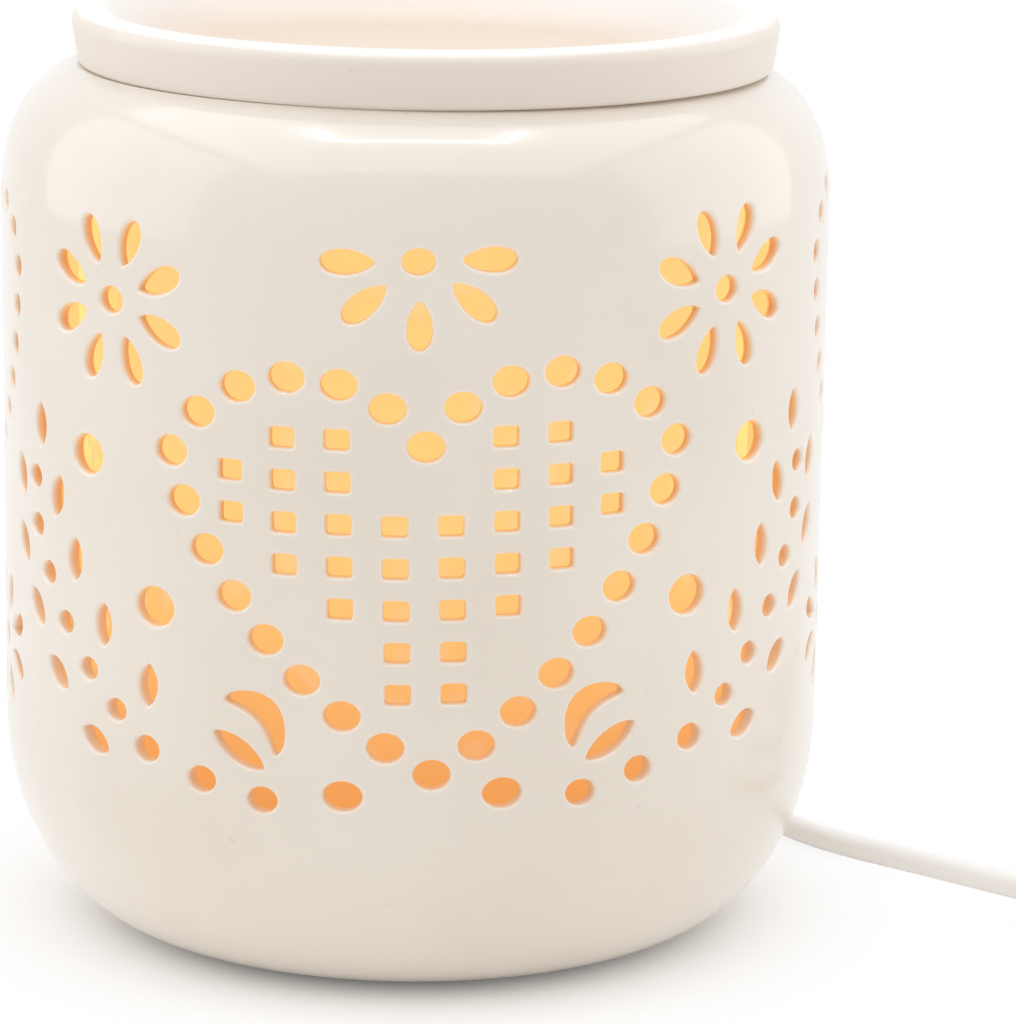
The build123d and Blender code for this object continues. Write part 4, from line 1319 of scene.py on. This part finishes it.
@dataclass
class MainsLead:
    """White lead from the grommet round the jar to a coil of two layers, and out to the plug.

    A share of curve_pull of each control point and the rest of its neighbours make the curve beside it.
    """

    diameter: float = 0.0044
    route: tuple = (
        (0.0, 0.0660, 0.0120), (0.0, 0.0835, 0.0120), (0.0098, 0.0981, 0.0088), (0.0262, 0.1047, 0.0046),
        (0.0434, 0.1010, 0.00225), (0.0556, 0.0884, 0.00225), (0.0589, 0.0709, 0.00225),
        (0.0632, 0.0550, 0.00225), (0.0710, 0.0310, 0.00225), (0.0970, 0.0050, 0.0032),
        (0.1220, -0.0186, 0.0032),
    )
    coil_radius: float = 0.0335
    pitch: float = 0.00495
    layer_step: float = 0.00495
    rounds: int = 7
    climb_turns: float = 0.5
    points_a_turn: int = 16
    lead_in: float = 0.005
    lead_out: float = 0.022
    lead_out_shares: tuple[float, float, float] = (0.12, 0.55, 1.0)
    curve_pull: float = 0.75
    curve_order: int = 3
    curve_steps: int = 6
    sides: int = 6

    def __post_init__(self) -> None:
        """Work out the coil from the route's end."""
        before, end = Vector(self.route[-2]), Vector(self.route[-1])
        way = end - before
        heading = math.atan2(way.y, way.x)
        self.entry_angle = (heading - math.pi / 2) % FULL_TURN
        self.turns = self.rounds - self.entry_angle / FULL_TURN
        self.layer_turns = (self.turns - self.climb_turns) / 2
        self.inner_radius = self.coil_radius - self.pitch * self.layer_turns
        start = end + Vector((math.cos(heading), math.sin(heading), 0.0)) * self.lead_in
        spoke = Vector((math.cos(self.entry_angle), math.sin(self.entry_angle), 0.0))
        self.centre = start - spoke * self.coil_radius
        slope = self.pitch / (FULL_TURN * self.radius_at(self.turns))
        self.exit_way = Vector((slope, 1.0, 0.0)).normalized()
        self.exit = self.coil_point(self.turns)

    def radius_at(self, turn: float) -> float:
        """Radius of the coil's line.

        Args:
            turn: Number of turns from the coil's start.

        Returns:
            Distance of the line from the coil's centre.
        """
        climb = (turn - self.layer_turns) / self.climb_turns
        if climb < 0:
            return self.coil_radius - self.pitch * turn
        if climb > 1:
            return self.inner_radius + self.pitch * (turn - self.layer_turns - self.climb_turns)
        return self.inner_radius - self.pitch * self.climb_turns / math.pi * math.sin(math.pi * climb)

    def coil_point(self, turn: float, spread: float = 1.0) -> Vector:
        """Point of the coil.

        Args:
            turn: Number of turns from the coil's start.
            spread: Factor on the coil's radius.

        Returns:
            The point.
        """
        climb = min(max((turn - self.layer_turns) / self.climb_turns, 0.0), 1.0)
        rise = self.layer_step * (1 - math.cos(math.pi * climb)) / 2
        angle = self.entry_angle + FULL_TURN * turn
        spoke = Vector((math.cos(angle), math.sin(angle), 0.0))
        return self.centre + spoke * (self.radius_at(turn) * spread) + Vector((0.0, 0.0, rise))

    def points(self) -> list[Vector]:
        """Control points of the whole lead.

        Returns:
            Points of the route, of the coil's turns and of the straight end.
        """
        beside = (1 - self.curve_pull) * math.cos(FULL_TURN / self.points_a_turn)
        spread = 1 / (self.curve_pull + beside)
        count = round(self.turns * self.points_a_turn)
        found = [Vector(spot) for spot in self.route]
        found += [self.coil_point(self.turns * (step + HALF) / count, spread) for step in range(count)]
        found += [self.exit + self.exit_way * (self.lead_out * share) for share in self.lead_out_shares]
        return found

    def build(self) -> bpy.types.Object:
        """Make the lead as one smooth curve with a round section.

        Returns:
            The finished lead.
        """
        curve = bpy.data.curves.new("mains_lead", "CURVE")
        curve.dimensions = "3D"
        curve.bevel_depth = self.diameter / 2
        curve.bevel_resolution = self.sides
        curve.use_fill_caps = True
        curve.resolution_u = self.curve_steps
        spline = curve.splines.new("NURBS")
        points = self.points()
        spline.points.add(len(points) - 1)
        for control, spot in zip(spline.points, points):
            control.co = (*spot, 1.0)
        spline.order_u = self.curve_order
        spline.use_endpoint_u = True
        curve.materials.append(LEAD.material())
        made = bpy.data.objects.new("mains_lead", curve)
        bpy.context.scene.collection.objects.link(made)
        return made


@dataclass
class LeadFittings:
    """Pieces on the lead: the wall grommet, the coil's tie, the ribbed sleeve, the plug and its pins."""

    lead: MainsLead
    grommet_height: float = 0.012
    grommet_start: float = 0.05001
    grommet_wall: float = 0.06681
    grommet_collar_end: float = 0.06921
    grommet_end: float = 0.07701
    grommet_bore: float = 0.0023
    grommet_neck: float = 0.0041
    grommet_collar: float = 0.0056
    grommet_ribs: tuple[float, float] = (0.0036, 0.0030)
    grommet_neck_round: float = 0.0004
    grommet_collar_round: float = 0.0007
    grommet_rib_round: float = 0.0002
    rib_count: int = 4
    ring_steps: int = 3
    tie_angle: float = math.radians(100.0)
    tie_middle: float = 0.02516
    tie_half: tuple[float, float] = (0.008335, 0.005675)
    tie_wall: float = 0.0007
    tie_round: float = 0.0034
    tie_width: float = 0.006
    tie_steps: int = 8
    sleeve_from: float = 0.02205
    sleeve_length: float = 0.024
    sleeve_radii: tuple[float, float] = (0.0030, 0.0046)
    sleeve_ribs: int = 7
    sleeve_groove: float = 0.0007
    groove_levels: tuple[float, float] = (0.0, 0.6)
    segments_a_rib: int = 12
    plug_length: float = 0.036
    plug_half_widths: tuple[float, float] = (0.0090, 0.01765)
    plug_half_heights: tuple[float, float] = (0.0068, 0.00815)
    plug_widens: float = 0.45
    plug_round: float = 0.0025
    plug_columns: int = 64
    plug_rows: int = 60
    plug_end_rows: int = 7
    grip_from: float = 0.017
    grip_to: float = 0.029
    grip_grooves: int = 4
    grip_depth: float = 0.0006
    pin_spacing: float = 0.019
    pin_radius: float = 0.002
    pin_length: float = 0.019
    pin_sleeve: float = 0.010
    pin_edge_round: float = 0.0002
    pin_bore_share: float = 0.9
    pin_root_share: float = 0.88
    pin_tip_share: float = 0.8
    pin_steps: int = 5
    columns: int = 40

    def along(self, distance: float) -> Matrix:
        """Place on the plug's axis, with Z along the axis.

        Args:
            distance: Distance from the coil.

        Returns:
            The place.
        """
        way = self.lead.exit_way
        side = Vector((way.y, -way.x, 0.0))
        turn = Matrix((side, Vector((0.0, 0.0, -1.0)), way)).transposed().to_4x4()
        return Matrix.Translation(self.lead.exit + way * distance) @ turn

    def grommet(self) -> bpy.types.Object:
        """Grommet with a flange outside the wall and a ribbed tail.

        Returns:
            The finished grommet.
        """
        fine, (high, low) = self.grommet_rib_round, self.grommet_ribs
        outline = [
            (self.grommet_bore, self.grommet_start, 0.0),
            (self.grommet_neck, self.grommet_start, self.grommet_neck_round),
            (self.grommet_neck, self.grommet_wall, fine), (self.grommet_collar, self.grommet_wall, fine),
            (self.grommet_collar, self.grommet_collar_end, self.grommet_collar_round),
        ]
        step = (self.grommet_end - self.grommet_collar_end) / (2 * self.rib_count)
        for rib in range(self.rib_count):
            start = self.grommet_collar_end + step * 2 * rib
            outline += [(low, start, fine), (low, start + step, fine)]
            outline += [(high, start + step, fine), (high, start + step * 2, fine)]
        outline += [(self.grommet_bore, self.grommet_end, 0.0)]
        shell = Shell()
        add_ring(shell, arc_corners(outline, self.ring_steps), self.columns)
        lift = Matrix.Translation((0.0, 0.0, self.grommet_height))
        shell.turn(lift @ Matrix.Rotation(-math.pi / 2, 4, "X"))
        return shell.piece("wall_grommet", PLUG.material())

    def tie(self) -> bpy.types.Object:
        """Flat band round the coil's turns.

        Returns:
            The finished band.
        """
        spoke = Vector((math.cos(self.tie_angle), math.sin(self.tie_angle), 0.0))
        across = Vector((-spoke.y, spoke.x, 0.0))
        middle = self.lead.centre + spoke * self.tie_middle
        middle.z = self.tie_half[1]
        loops = {"outer": [], "inner": []}
        ways = []
        for quarter in range(4):
            for step in range(self.tie_steps + 1):
                turn = (quarter + step / self.tie_steps) * math.pi / 2
                way = spoke * math.cos(turn) + Vector((0.0, 0.0, math.sin(turn)))
                u = (self.tie_half[0] - self.tie_round) * (1 if quarter in (0, 3) else -1)
                v = (self.tie_half[1] - self.tie_round) * (1 if quarter in (0, 1) else -1)
                corner = middle + spoke * u + Vector((0.0, 0.0, v))
                ways.append(way)
                loops["outer"].append(corner + way * self.tie_round)
                loops["inner"].append(corner + way * (self.tie_round - self.tie_wall))
        shell = Shell()
        half = across * (self.tie_width / 2)

        def ring(loop: str, side: int, directions: Sequence[Vector]) -> list[int]:
            """Add one loop of the band at one edge."""
            spots = [spot + half * side for spot in loops[loop]]
            return shell.add(np.array(spots), np.array(directions))

        inward = [-way for way in ways]
        shell.strip(ring("outer", 1, ways), ring("outer", -1, ways))
        shell.strip(ring("inner", -1, inward), ring("inner", 1, inward))
        for side, order in ((-1, ("outer", "inner")), (1, ("inner", "outer"))):
            edge = [across * side] * len(ways)
            shell.strip(ring(order[0], side, edge), ring(order[1], side, edge))
        return shell.piece("coil_tie", TIE.material())

    def sleeve(self) -> bpy.types.Object:
        """Ribbed bend sleeve, formed by nodes from a plain tube.

        Returns:
            The finished sleeve.
        """
        number = "NodeSocketFloat"
        former = Former("ribbed_sleeve", {
            "Length": number, "Near radius": number, "Far radius": number, "Ribs": "NodeSocketInt",
            "Groove": number, "Material": "NodeSocketMaterial",
        })
        tube = former.value("GeometryNodeMeshCylinder", "Mesh", None, {
            "Vertices": self.columns, "Side Segments": self.sleeve_ribs * self.segments_a_rib, "Radius": 1.0,
            "Depth": 1.0,
        })
        place = former.value("GeometryNodeInputPosition", 0)
        share = former.axis(place, "Z") + HALF
        wave = (share * former.given("Ribs") * FULL_TURN).wave().ramp(*self.groove_levels)
        near, far = former.given("Near radius"), former.given("Far radius")
        reach = near + (far - near) * share - wave * former.given("Groove")
        spot = former.value("ShaderNodeCombineXYZ", 0, None, {
            0: former.axis(place, "X") * reach, 1: former.axis(place, "Y") * reach,
            2: share * former.given("Length"),
        })
        moved = former.value("GeometryNodeSetPosition", 0, None, {"Geometry": tube, "Position": spot})
        former.finish(former.value("GeometryNodeSetShadeSmooth", 0, None, {0: moved}))
        made = former.piece({
            "Length": self.sleeve_length, "Near radius": self.sleeve_radii[0],
            "Far radius": self.sleeve_radii[1], "Ribs": self.sleeve_ribs, "Groove": self.sleeve_groove,
            "Material": PLUG.material(),
        })
        made.data.transform(self.along(self.sleeve_from))
        return made

    def plug_half_size(self, along: float) -> tuple[float, float]:
        """Size of the plug's case at a place on its axis.

        Args:
            along: Distance from the case's rear end.

        Returns:
            Half width and half height.
        """
        share = min(along / (self.plug_length * self.plug_widens), 1.0)
        share = share * share * (3 - 2 * share)
        ranges = (self.plug_half_widths, self.plug_half_heights)
        width, height = [low + (high - low) * share for low, high in ranges]
        grip = (along - self.grip_from) / (self.grip_to - self.grip_from)
        if 0 < grip < 1:
            width -= self.grip_depth * (1 - math.cos(FULL_TURN * grip * self.grip_grooves)) / 2
        nearest = min(along, self.plug_length - along)
        if nearest < self.plug_round:
            inset = self.plug_round - math.sqrt(self.plug_round ** 2 - (self.plug_round - nearest) ** 2)
            width, height = width - inset, height - inset
        return width, height

    def plug(self) -> bpy.types.Object:
        """Plug's case: a neck that widens to a rounded body with grip grooves, and the pins' sleeves.

        Returns:
            The finished case.
        """
        ends = self.plug_round * (1 - np.cos(np.linspace(0.0, math.pi / 2, self.plug_end_rows)))
        middle = np.linspace(self.plug_round, self.plug_length - self.plug_round, self.plug_rows)
        lengths = np.concatenate([ends, middle[1:-1], self.plug_length - ends[::-1]])
        turns = np.arange(self.plug_columns) * FULL_TURN / self.plug_columns
        waves = (np.cos(turns), np.sin(turns))
        flat = np.stack([np.sign(wave) * np.sqrt(np.abs(wave)) for wave in waves], axis=1)
        rows = np.array([
            np.column_stack([flat * self.plug_half_size(z), np.full(self.plug_columns, z)]) for z in lengths
        ])
        round_ways = np.roll(rows, -1, axis=1) - np.roll(rows, 1, axis=1)
        normals = np.cross(round_ways, np.gradient(rows, axis=0))
        normals /= np.linalg.norm(normals, axis=2, keepdims=True)
        shell = Shell()
        rings = [shell.add(points, ways) for points, ways in zip(rows, normals)]
        for near, far in zip(rings, rings[1:]):
            shell.strip(near, far)
        for ring, along, upward in ((rings[0], 0.0, False), (rings[-1], self.plug_length, True)):
            pole = shell.add(np.array([(0.0, 0.0, along)]), np.array([(0.0, 0.0, 1.0 if upward else -1.0)]))
            shell.fan(ring, pole[0], upward)
        bore = self.pin_radius * self.pin_bore_share
        sleeve = arc_corners([
            (bore, 0.0, 0.0), (self.pin_radius, 0.0, 0.0),
            (self.pin_radius, self.pin_sleeve, self.pin_edge_round), (bore, self.pin_sleeve, 0.0),
        ], self.ring_steps)
        for side in (-1, 1):
            first = len(shell.points)
            add_ring(shell, sleeve, self.columns)
            shell.turn(Matrix.Translation((side * self.pin_spacing / 2, 0.0, self.plug_length)), first)
        shell.turn(self.along(self.sleeve_from + self.sleeve_length))
        return shell.piece("plug_case", PLUG.material())

    def pins(self) -> bpy.types.Object:
        """Pair of round plug pins with rounded tips.

        Returns:
            The finished pins.
        """
        root = self.pin_radius * self.pin_root_share
        outline = arc_corners([
            (0.0, 0.0, 0.0), (root, 0.0, 0.0), (root, self.pin_sleeve, 0.0),
            (self.pin_radius, self.pin_sleeve, self.pin_edge_round),
            (self.pin_radius, self.pin_length, self.pin_radius * self.pin_tip_share),
            (0.0, self.pin_length, 0.0),
        ], self.pin_steps)
        shell = Shell()
        for side in (-1, 1):
            first = len(shell.points)
            add_turned(shell, outline, self.columns)
            shell.turn(Matrix.Translation((side * self.pin_spacing / 2, 0.0, 0.0)), first)
        shell.turn(self.along(self.sleeve_from + self.sleeve_length + self.plug_length))
        return shell.piece("plug_pin_pair", PIN_STEEL.material())


@dataclass
class BaseFittings:
    """Rubber feet and cross-head screws under the base plate."""

    foot_count: int = 4
    foot_circle: float = 0.035
    foot_first: float = math.radians(45.0)
    foot_radius: float = 0.006
    foot_height: float = 0.0025
    foot_edge: float = 0.0006
    foot_sunk: float = 0.0004
    foot_ring_shares: tuple[float, float, float] = (0.40, 0.48, 0.92)
    foot_side_share: float = 0.4
    foot_steps: int = 4
    screw_count: int = 2
    screw_circle: float = 0.028
    head_radius: float = 0.0036
    head_low: float = 0.0005
    head_top: float = 0.0025
    head_face_share: float = 0.7
    head_round: float = 0.0012
    head_edge_round: float = 0.0002
    neck_round: float = 0.0001
    shank_radius: float = 0.00195
    shank_top: float = 0.012
    tip_round: float = 0.0004
    screw_steps: int = 5
    cross_arm: float = 0.0016
    cross_half: float = 0.0004
    cross_depth: float = 0.0011
    cross_weld: float = 1e-9
    columns: int = 40

    @staticmethod
    def set_round(
        name: str, pattern: bpy.types.Object, count: int, circle: float, first: float,
        material: bpy.types.Material,
    ) -> bpy.types.Object:
        """Set copies of one piece at even steps round the jar's axis.

        Args:
            name: Name of the set.
            pattern: The piece to copy, which is removed afterwards.
            count: Number of copies.
            circle: Distance of the copies from the axis.
            first: Angle of the first copy.
            material: Material of the copies.

        Returns:
            The set as one mesh.
        """
        former = Former(name, {
            "Pattern": "NodeSocketObject", "Count": "NodeSocketInt", "Circle": "NodeSocketFloat",
            "First angle": "NodeSocketFloat", "Material": "NodeSocketMaterial",
        })
        index = former.value("GeometryNodeInputIndex", 0)
        angle = former.given("First angle") + index * (FULL_TURN / former.given("Count"))
        quarter = angle - math.pi / 2
        spot = former.value("ShaderNodeCombineXYZ", 0, None, {
            0: angle.wave() * former.given("Circle"), 1: quarter.wave() * former.given("Circle"),
        })
        spots = {"Count": former.given("Count"), "Position": spot}
        points = former.value("GeometryNodePoints", 0, None, spots)
        shape = former.value("GeometryNodeObjectInfo", "Geometry", None, {"Object": former.given("Pattern")})
        copies = {"Points": points, "Instance": shape}
        former.finish(former.value("GeometryNodeInstanceOnPoints", 0, None, copies))
        made = former.piece({
            "Pattern": pattern, "Count": count, "Circle": circle, "First angle": first, "Material": material,
        })
        bpy.data.objects.remove(pattern)
        return made

    def feet(self) -> bpy.types.Object:
        """Rubber feet with a sunk middle.

        Returns:
            The finished feet.
        """
        edge, sunk, radius, height = self.foot_edge, self.foot_sunk, self.foot_radius, self.foot_height
        dip, inner, outer = [radius * share for share in self.foot_ring_shares]
        outline = arc_corners([
            (0.0, sunk, 0.0), (dip, sunk, sunk), (inner, 0.0, sunk), (outer, 0.0, edge),
            (radius, height * self.foot_side_share, edge), (radius, height, edge * HALF), (0.0, height, 0.0),
        ], self.foot_steps)
        shell = Shell()
        add_turned(shell, outline, self.columns)
        rubber = RUBBER.material()
        foot = shell.piece("rubber_foot", rubber)
        return self.set_round(
            "rubber_feet", foot, self.foot_count, self.foot_circle, self.foot_first, rubber
        )

    def screws(self) -> bpy.types.Object:
        """Pan-head screws with a cross recess that faces down.

        Returns:
            The finished screws.
        """
        outline = arc_corners([
            (self.head_radius * self.head_face_share, self.head_low, 0.0),
            (self.head_radius, self.head_low, self.head_round),
            (self.head_radius, self.head_top, self.head_edge_round),
            (self.shank_radius, self.head_top, self.neck_round),
            (self.shank_radius, self.shank_top, self.tip_round), (0.0, self.shank_top, 0.0),
        ], self.screw_steps)
        shell = Shell()
        rows = add_turned(shell, outline, self.columns)
        self.add_cross(shell, rows[0])
        steel = SCREW_STEEL.material()
        screw = shell.piece("base_screw", steel)
        return self.set_round("base_screw_pair", screw, self.screw_count, self.screw_circle, 0.0, steel)

    def add_cross(self, shell: Shell, ring: list[int]) -> None:
        """Close a screw head's flat face round a cross-shaped recess.

        Args:
            shell: Mesh of the screw.
            ring: Points at the edge of the flat face.
        """
        arm, half, count = self.cross_arm, self.cross_half, len(ring)
        cross = [
            (arm, -half), (arm, half), (half, half), (half, arm), (-half, arm), (-half, half),
            (-arm, half), (-arm, -half), (-half, -half), (-half, -arm), (half, -arm), (half, -half),
        ]
        flat = [Vector(shell.points[i][:2]) for i in ring] + [Vector(corner) for corner in cross]
        border = [(i, (i + 1) % count) for i in range(count)]
        recess = [list(range(count, len(flat)))]
        places, _, faces, _, _, owners = delaunay_2d_cdt(flat, border, recess, 0, self.cross_weld)
        floor = self.head_low + self.cross_depth
        downs = np.array([(0.0, 0.0, -1.0)] * len(places))
        levels = {
            level: shell.add(np.array([(*spot, level) for spot in places]), downs)
            for level in (self.head_low, floor)
        }
        for face, inside in zip(faces, owners):
            (ax, ay), (bx, by), (cx, cy) = [places[i] for i in face]
            order = list(face) if (bx - ax) * (cy - ay) < (by - ay) * (cx - ax) else list(face)[::-1]
            level = floor if inside else self.head_low
            shell.faces.append([levels[level][i] for i in order])
        for start, end in zip(cross, cross[1:] + cross[:1]):
            way = (start[1] - end[1], end[0] - start[0], 0.0)
            spots = [(*start, floor), (*end, floor), (*end, self.head_low), (*start, self.head_low)]
            ways = np.array([way] * len(spots)) / math.hypot(*way)
            shell.faces.append(shell.add(np.array(spots), ways))


@dataclass(frozen=True)
class SoftBox:
    """Soft rectangular light that faces a point; one for gloss alone leaves matt surfaces unlit."""

    name: str
    place: tuple[float, float, float]
    aim: tuple[float, float, float]
    size: tuple[float, float]
    power: float
    gloss_alone: bool = False

    def build(self) -> None:
        """Add the light to the scene."""
        data = bpy.data.lights.new(self.name, "AREA")
        data.shape = "RECTANGLE"
        data.size, data.size_y = self.size
        data.energy = self.power
        made = bpy.data.objects.new(self.name, data)
        way = Vector(self.aim) - Vector(self.place)
        turn = way.to_track_quat("-Z", "Y").to_matrix().to_4x4()
        made.matrix_world = Matrix.Translation(self.place) @ turn
        made.visible_diffuse = not self.gloss_alone
        bpy.context.scene.collection.objects.link(made)


JAR_MIDDLE = (0.0, 0.0, 0.08)
SOFT_BOXES = (
    SoftBox("overhead", (0.0, -0.08, 1.40), JAR_MIDDLE, (2.4, 2.4), 19.0),
    SoftBox("streak_front", (0.0, -0.16, 0.80), JAR_MIDDLE, (0.36, 0.010), 0.396, gloss_alone=True),
    SoftBox("streak_left", (-0.19, -0.06, 0.80), (-0.19, 0.0, 0.08), (0.014, 0.20), 0.308, gloss_alone=True),
    SoftBox("streak_right", (0.19, -0.06, 0.80), (0.19, 0.0, 0.08), (0.014, 0.20), 0.308, gloss_alone=True),
    SoftBox("left_box", (-0.85, 0.02, 0.35), JAR_MIDDLE, (1.0, 0.9), 2.1),
    SoftBox("right_box", (0.85, 0.04, 0.35), JAR_MIDDLE, (1.0, 0.9), 1.8),
)


@dataclass
class Studio:
    """Camera, pale floor and soft lights."""

    camera_place: tuple[float, float, float] = (-0.0177, -0.7794, 0.2520)
    heading: float = math.radians(2.5)
    pitch: float = math.radians(13.17)
    roll: float = math.radians(0.83)
    focal_pixels: float = 4640.0
    picture_side: float = 1024.0
    sensor: float = 36.0
    clip: tuple[float, float] = (0.05, 20.0)
    floor_size: float = 6.0
    room_level: float = 0.48
    floor_colour: Colour = (0.99, 0.96, 0.92, 1.0)
    shade_from: float = 0.035
    shade_to: float = 0.092

    def camera(self) -> None:
        """Place the camera at the photograph's view."""
        data = bpy.data.cameras.new("view")
        data.sensor_width = self.sensor
        data.lens = self.focal_pixels * self.sensor / self.picture_side
        data.clip_start, data.clip_end = self.clip
        made = bpy.data.objects.new("view", data)
        forward = Vector((
            math.sin(self.heading) * math.cos(self.pitch), math.cos(self.heading) * math.cos(self.pitch),
            -math.sin(self.pitch),
        ))
        right = Vector((math.cos(self.heading), -math.sin(self.heading), 0.0))
        up = right.cross(forward)
        across = right * math.cos(self.roll) + up * math.sin(self.roll)
        upright = up * math.cos(self.roll) - right * math.sin(self.roll)
        turn = Matrix((across, upright, -forward)).transposed().to_4x4()
        made.matrix_world = Matrix.Translation(self.camera_place) @ turn
        bpy.context.scene.collection.objects.link(made)
        bpy.context.scene.camera = made

    def floor(self) -> bpy.types.Object:
        """Pale floor that keeps the shadow near the jar and is plain white further off.

        Returns:
            The floor.
        """
        half = self.floor_size / 2
        corners = [(-half, -half, 0), (half, -half, 0), (half, half, 0), (-half, half, 0)]
        mesh = bpy.data.meshes.new("floor")
        mesh.from_pydata(corners, [], [(0, 1, 2, 3)])
        graph = Paint("floor_white")
        far = graph.from_axis(graph.place()).ramp(self.shade_from, self.shade_to)
        white = graph.value("ShaderNodeEmission", 0, None, {"Color": WHITE, "Strength": 1.0})
        matt = graph.value("ShaderNodeBsdfDiffuse", 0, None, {"Color": self.floor_colour})
        mixed = graph.value("ShaderNodeMixShader", 0, None, {0: graph.seen_rays() * far, 1: matt, 2: white})
        graph.node("ShaderNodeOutputMaterial", None, {"Surface": mixed})
        mesh.materials.append(graph.material)
        made = bpy.data.objects.new("floor", mesh)
        bpy.context.scene.collection.objects.link(made)
        return made

    def lights(self) -> None:
        """Soft boxes above and at both sides, in a pale room."""
        world = bpy.data.worlds.new("room")
        world.use_nodes = True
        graph = Graph(world.node_tree)
        level = self.room_level + (1 - self.room_level) * graph.seen_rays()
        white = graph.value("ShaderNodeBackground", 0, None, {"Color": WHITE, "Strength": level})
        graph.node("ShaderNodeOutputWorld", None, {"Surface": white})
        bpy.context.scene.world = world
        for box in SOFT_BOXES:
            box.build()

    def build(self) -> None:
        """Set the view, the floor and the lights."""
        self.camera()
        self.floor()
        self.lights()
        bpy.context.scene.view_settings.view_transform = "Standard"


CARRIED_FINISHES: dict[str, Finish] = {
    "base_plate": SHEET_STEEL,
    "clamp_bar": BRACKET,
    "holder_bracket": BRACKET,
    "holder_screws": SCREW_STEEL,
    "holder_contacts": BRASS,
    "lamp_holder": CERAMIC,
    "lamp_cap": LAMP_CAP,
    "lamp_pins": PIN_STEEL,
    "lamp_reflector": MIRROR,
    "lamp_front_glass": LAMP_GLASS,
    "lamp_capsule": CAPSULE,
    "terminal_block": TERMINAL,
    "lead_wires": WIRE,
    "cord_grip": GRIP,
    "supply_tail": LEAD,
}


def dress_carried_nodes() -> None:
    """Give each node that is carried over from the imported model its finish."""
    made: dict[str, bpy.types.Material] = {}
    for node, finish in CARRIED_FINISHES.items():
        if finish.name not in made:
            made[finish.name] = finish.material()
        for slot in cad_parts[node].material_slots:
            slot.material = made[finish.name]
        log.info("%s: %s", node, finish.name)


def set_piece(piece: bpy.types.Object, body: str, slot: str, *nodes: str) -> bpy.types.Object:
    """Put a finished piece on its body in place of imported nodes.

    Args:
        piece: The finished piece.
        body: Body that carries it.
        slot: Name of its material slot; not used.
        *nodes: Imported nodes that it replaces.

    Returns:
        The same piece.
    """
    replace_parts(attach(piece, body), *nodes)
    log.info("%s on %s for %s", piece.name, body, ", ".join(nodes))
    return piece


def main() -> None:
    """Build the burner's pieces in order and report them."""
    logging.basicConfig(level=logging.INFO)
    Studio().build()
    lead = MainsLead()
    cord = set_piece(lead.build(), "burner", "lead_plastic", "power_cord", "cord_coil")
    set_piece(PiercedJar().build(), "burner", "glazed_body", "body_shell")
    set_piece(Dish().build(), "dish", "glazed_dish", "dish")
    fittings = LeadFittings(lead)
    on_lead = [
        set_piece(fittings.grommet(), "burner", "lead_plastic", "cord_grommet"),
        set_piece(fittings.tie(), "burner", "tie_plastic", "cord_tie"),
        set_piece(fittings.sleeve(), "burner", "plug_plastic", "plug_sleeve"),
        set_piece(fittings.plug(), "burner", "plug_plastic", "plug_body"),
        set_piece(fittings.pins(), "burner", "pin_steel", "plug_pins"),
    ]
    base = BaseFittings()
    set_piece(base.feet(), "burner", "foot_rubber", "base_feet")
    set_piece(base.screws(), "burner", "screw_steel", "base_screws")
    dress_carried_nodes()


if __name__ == "__main__":
    main()
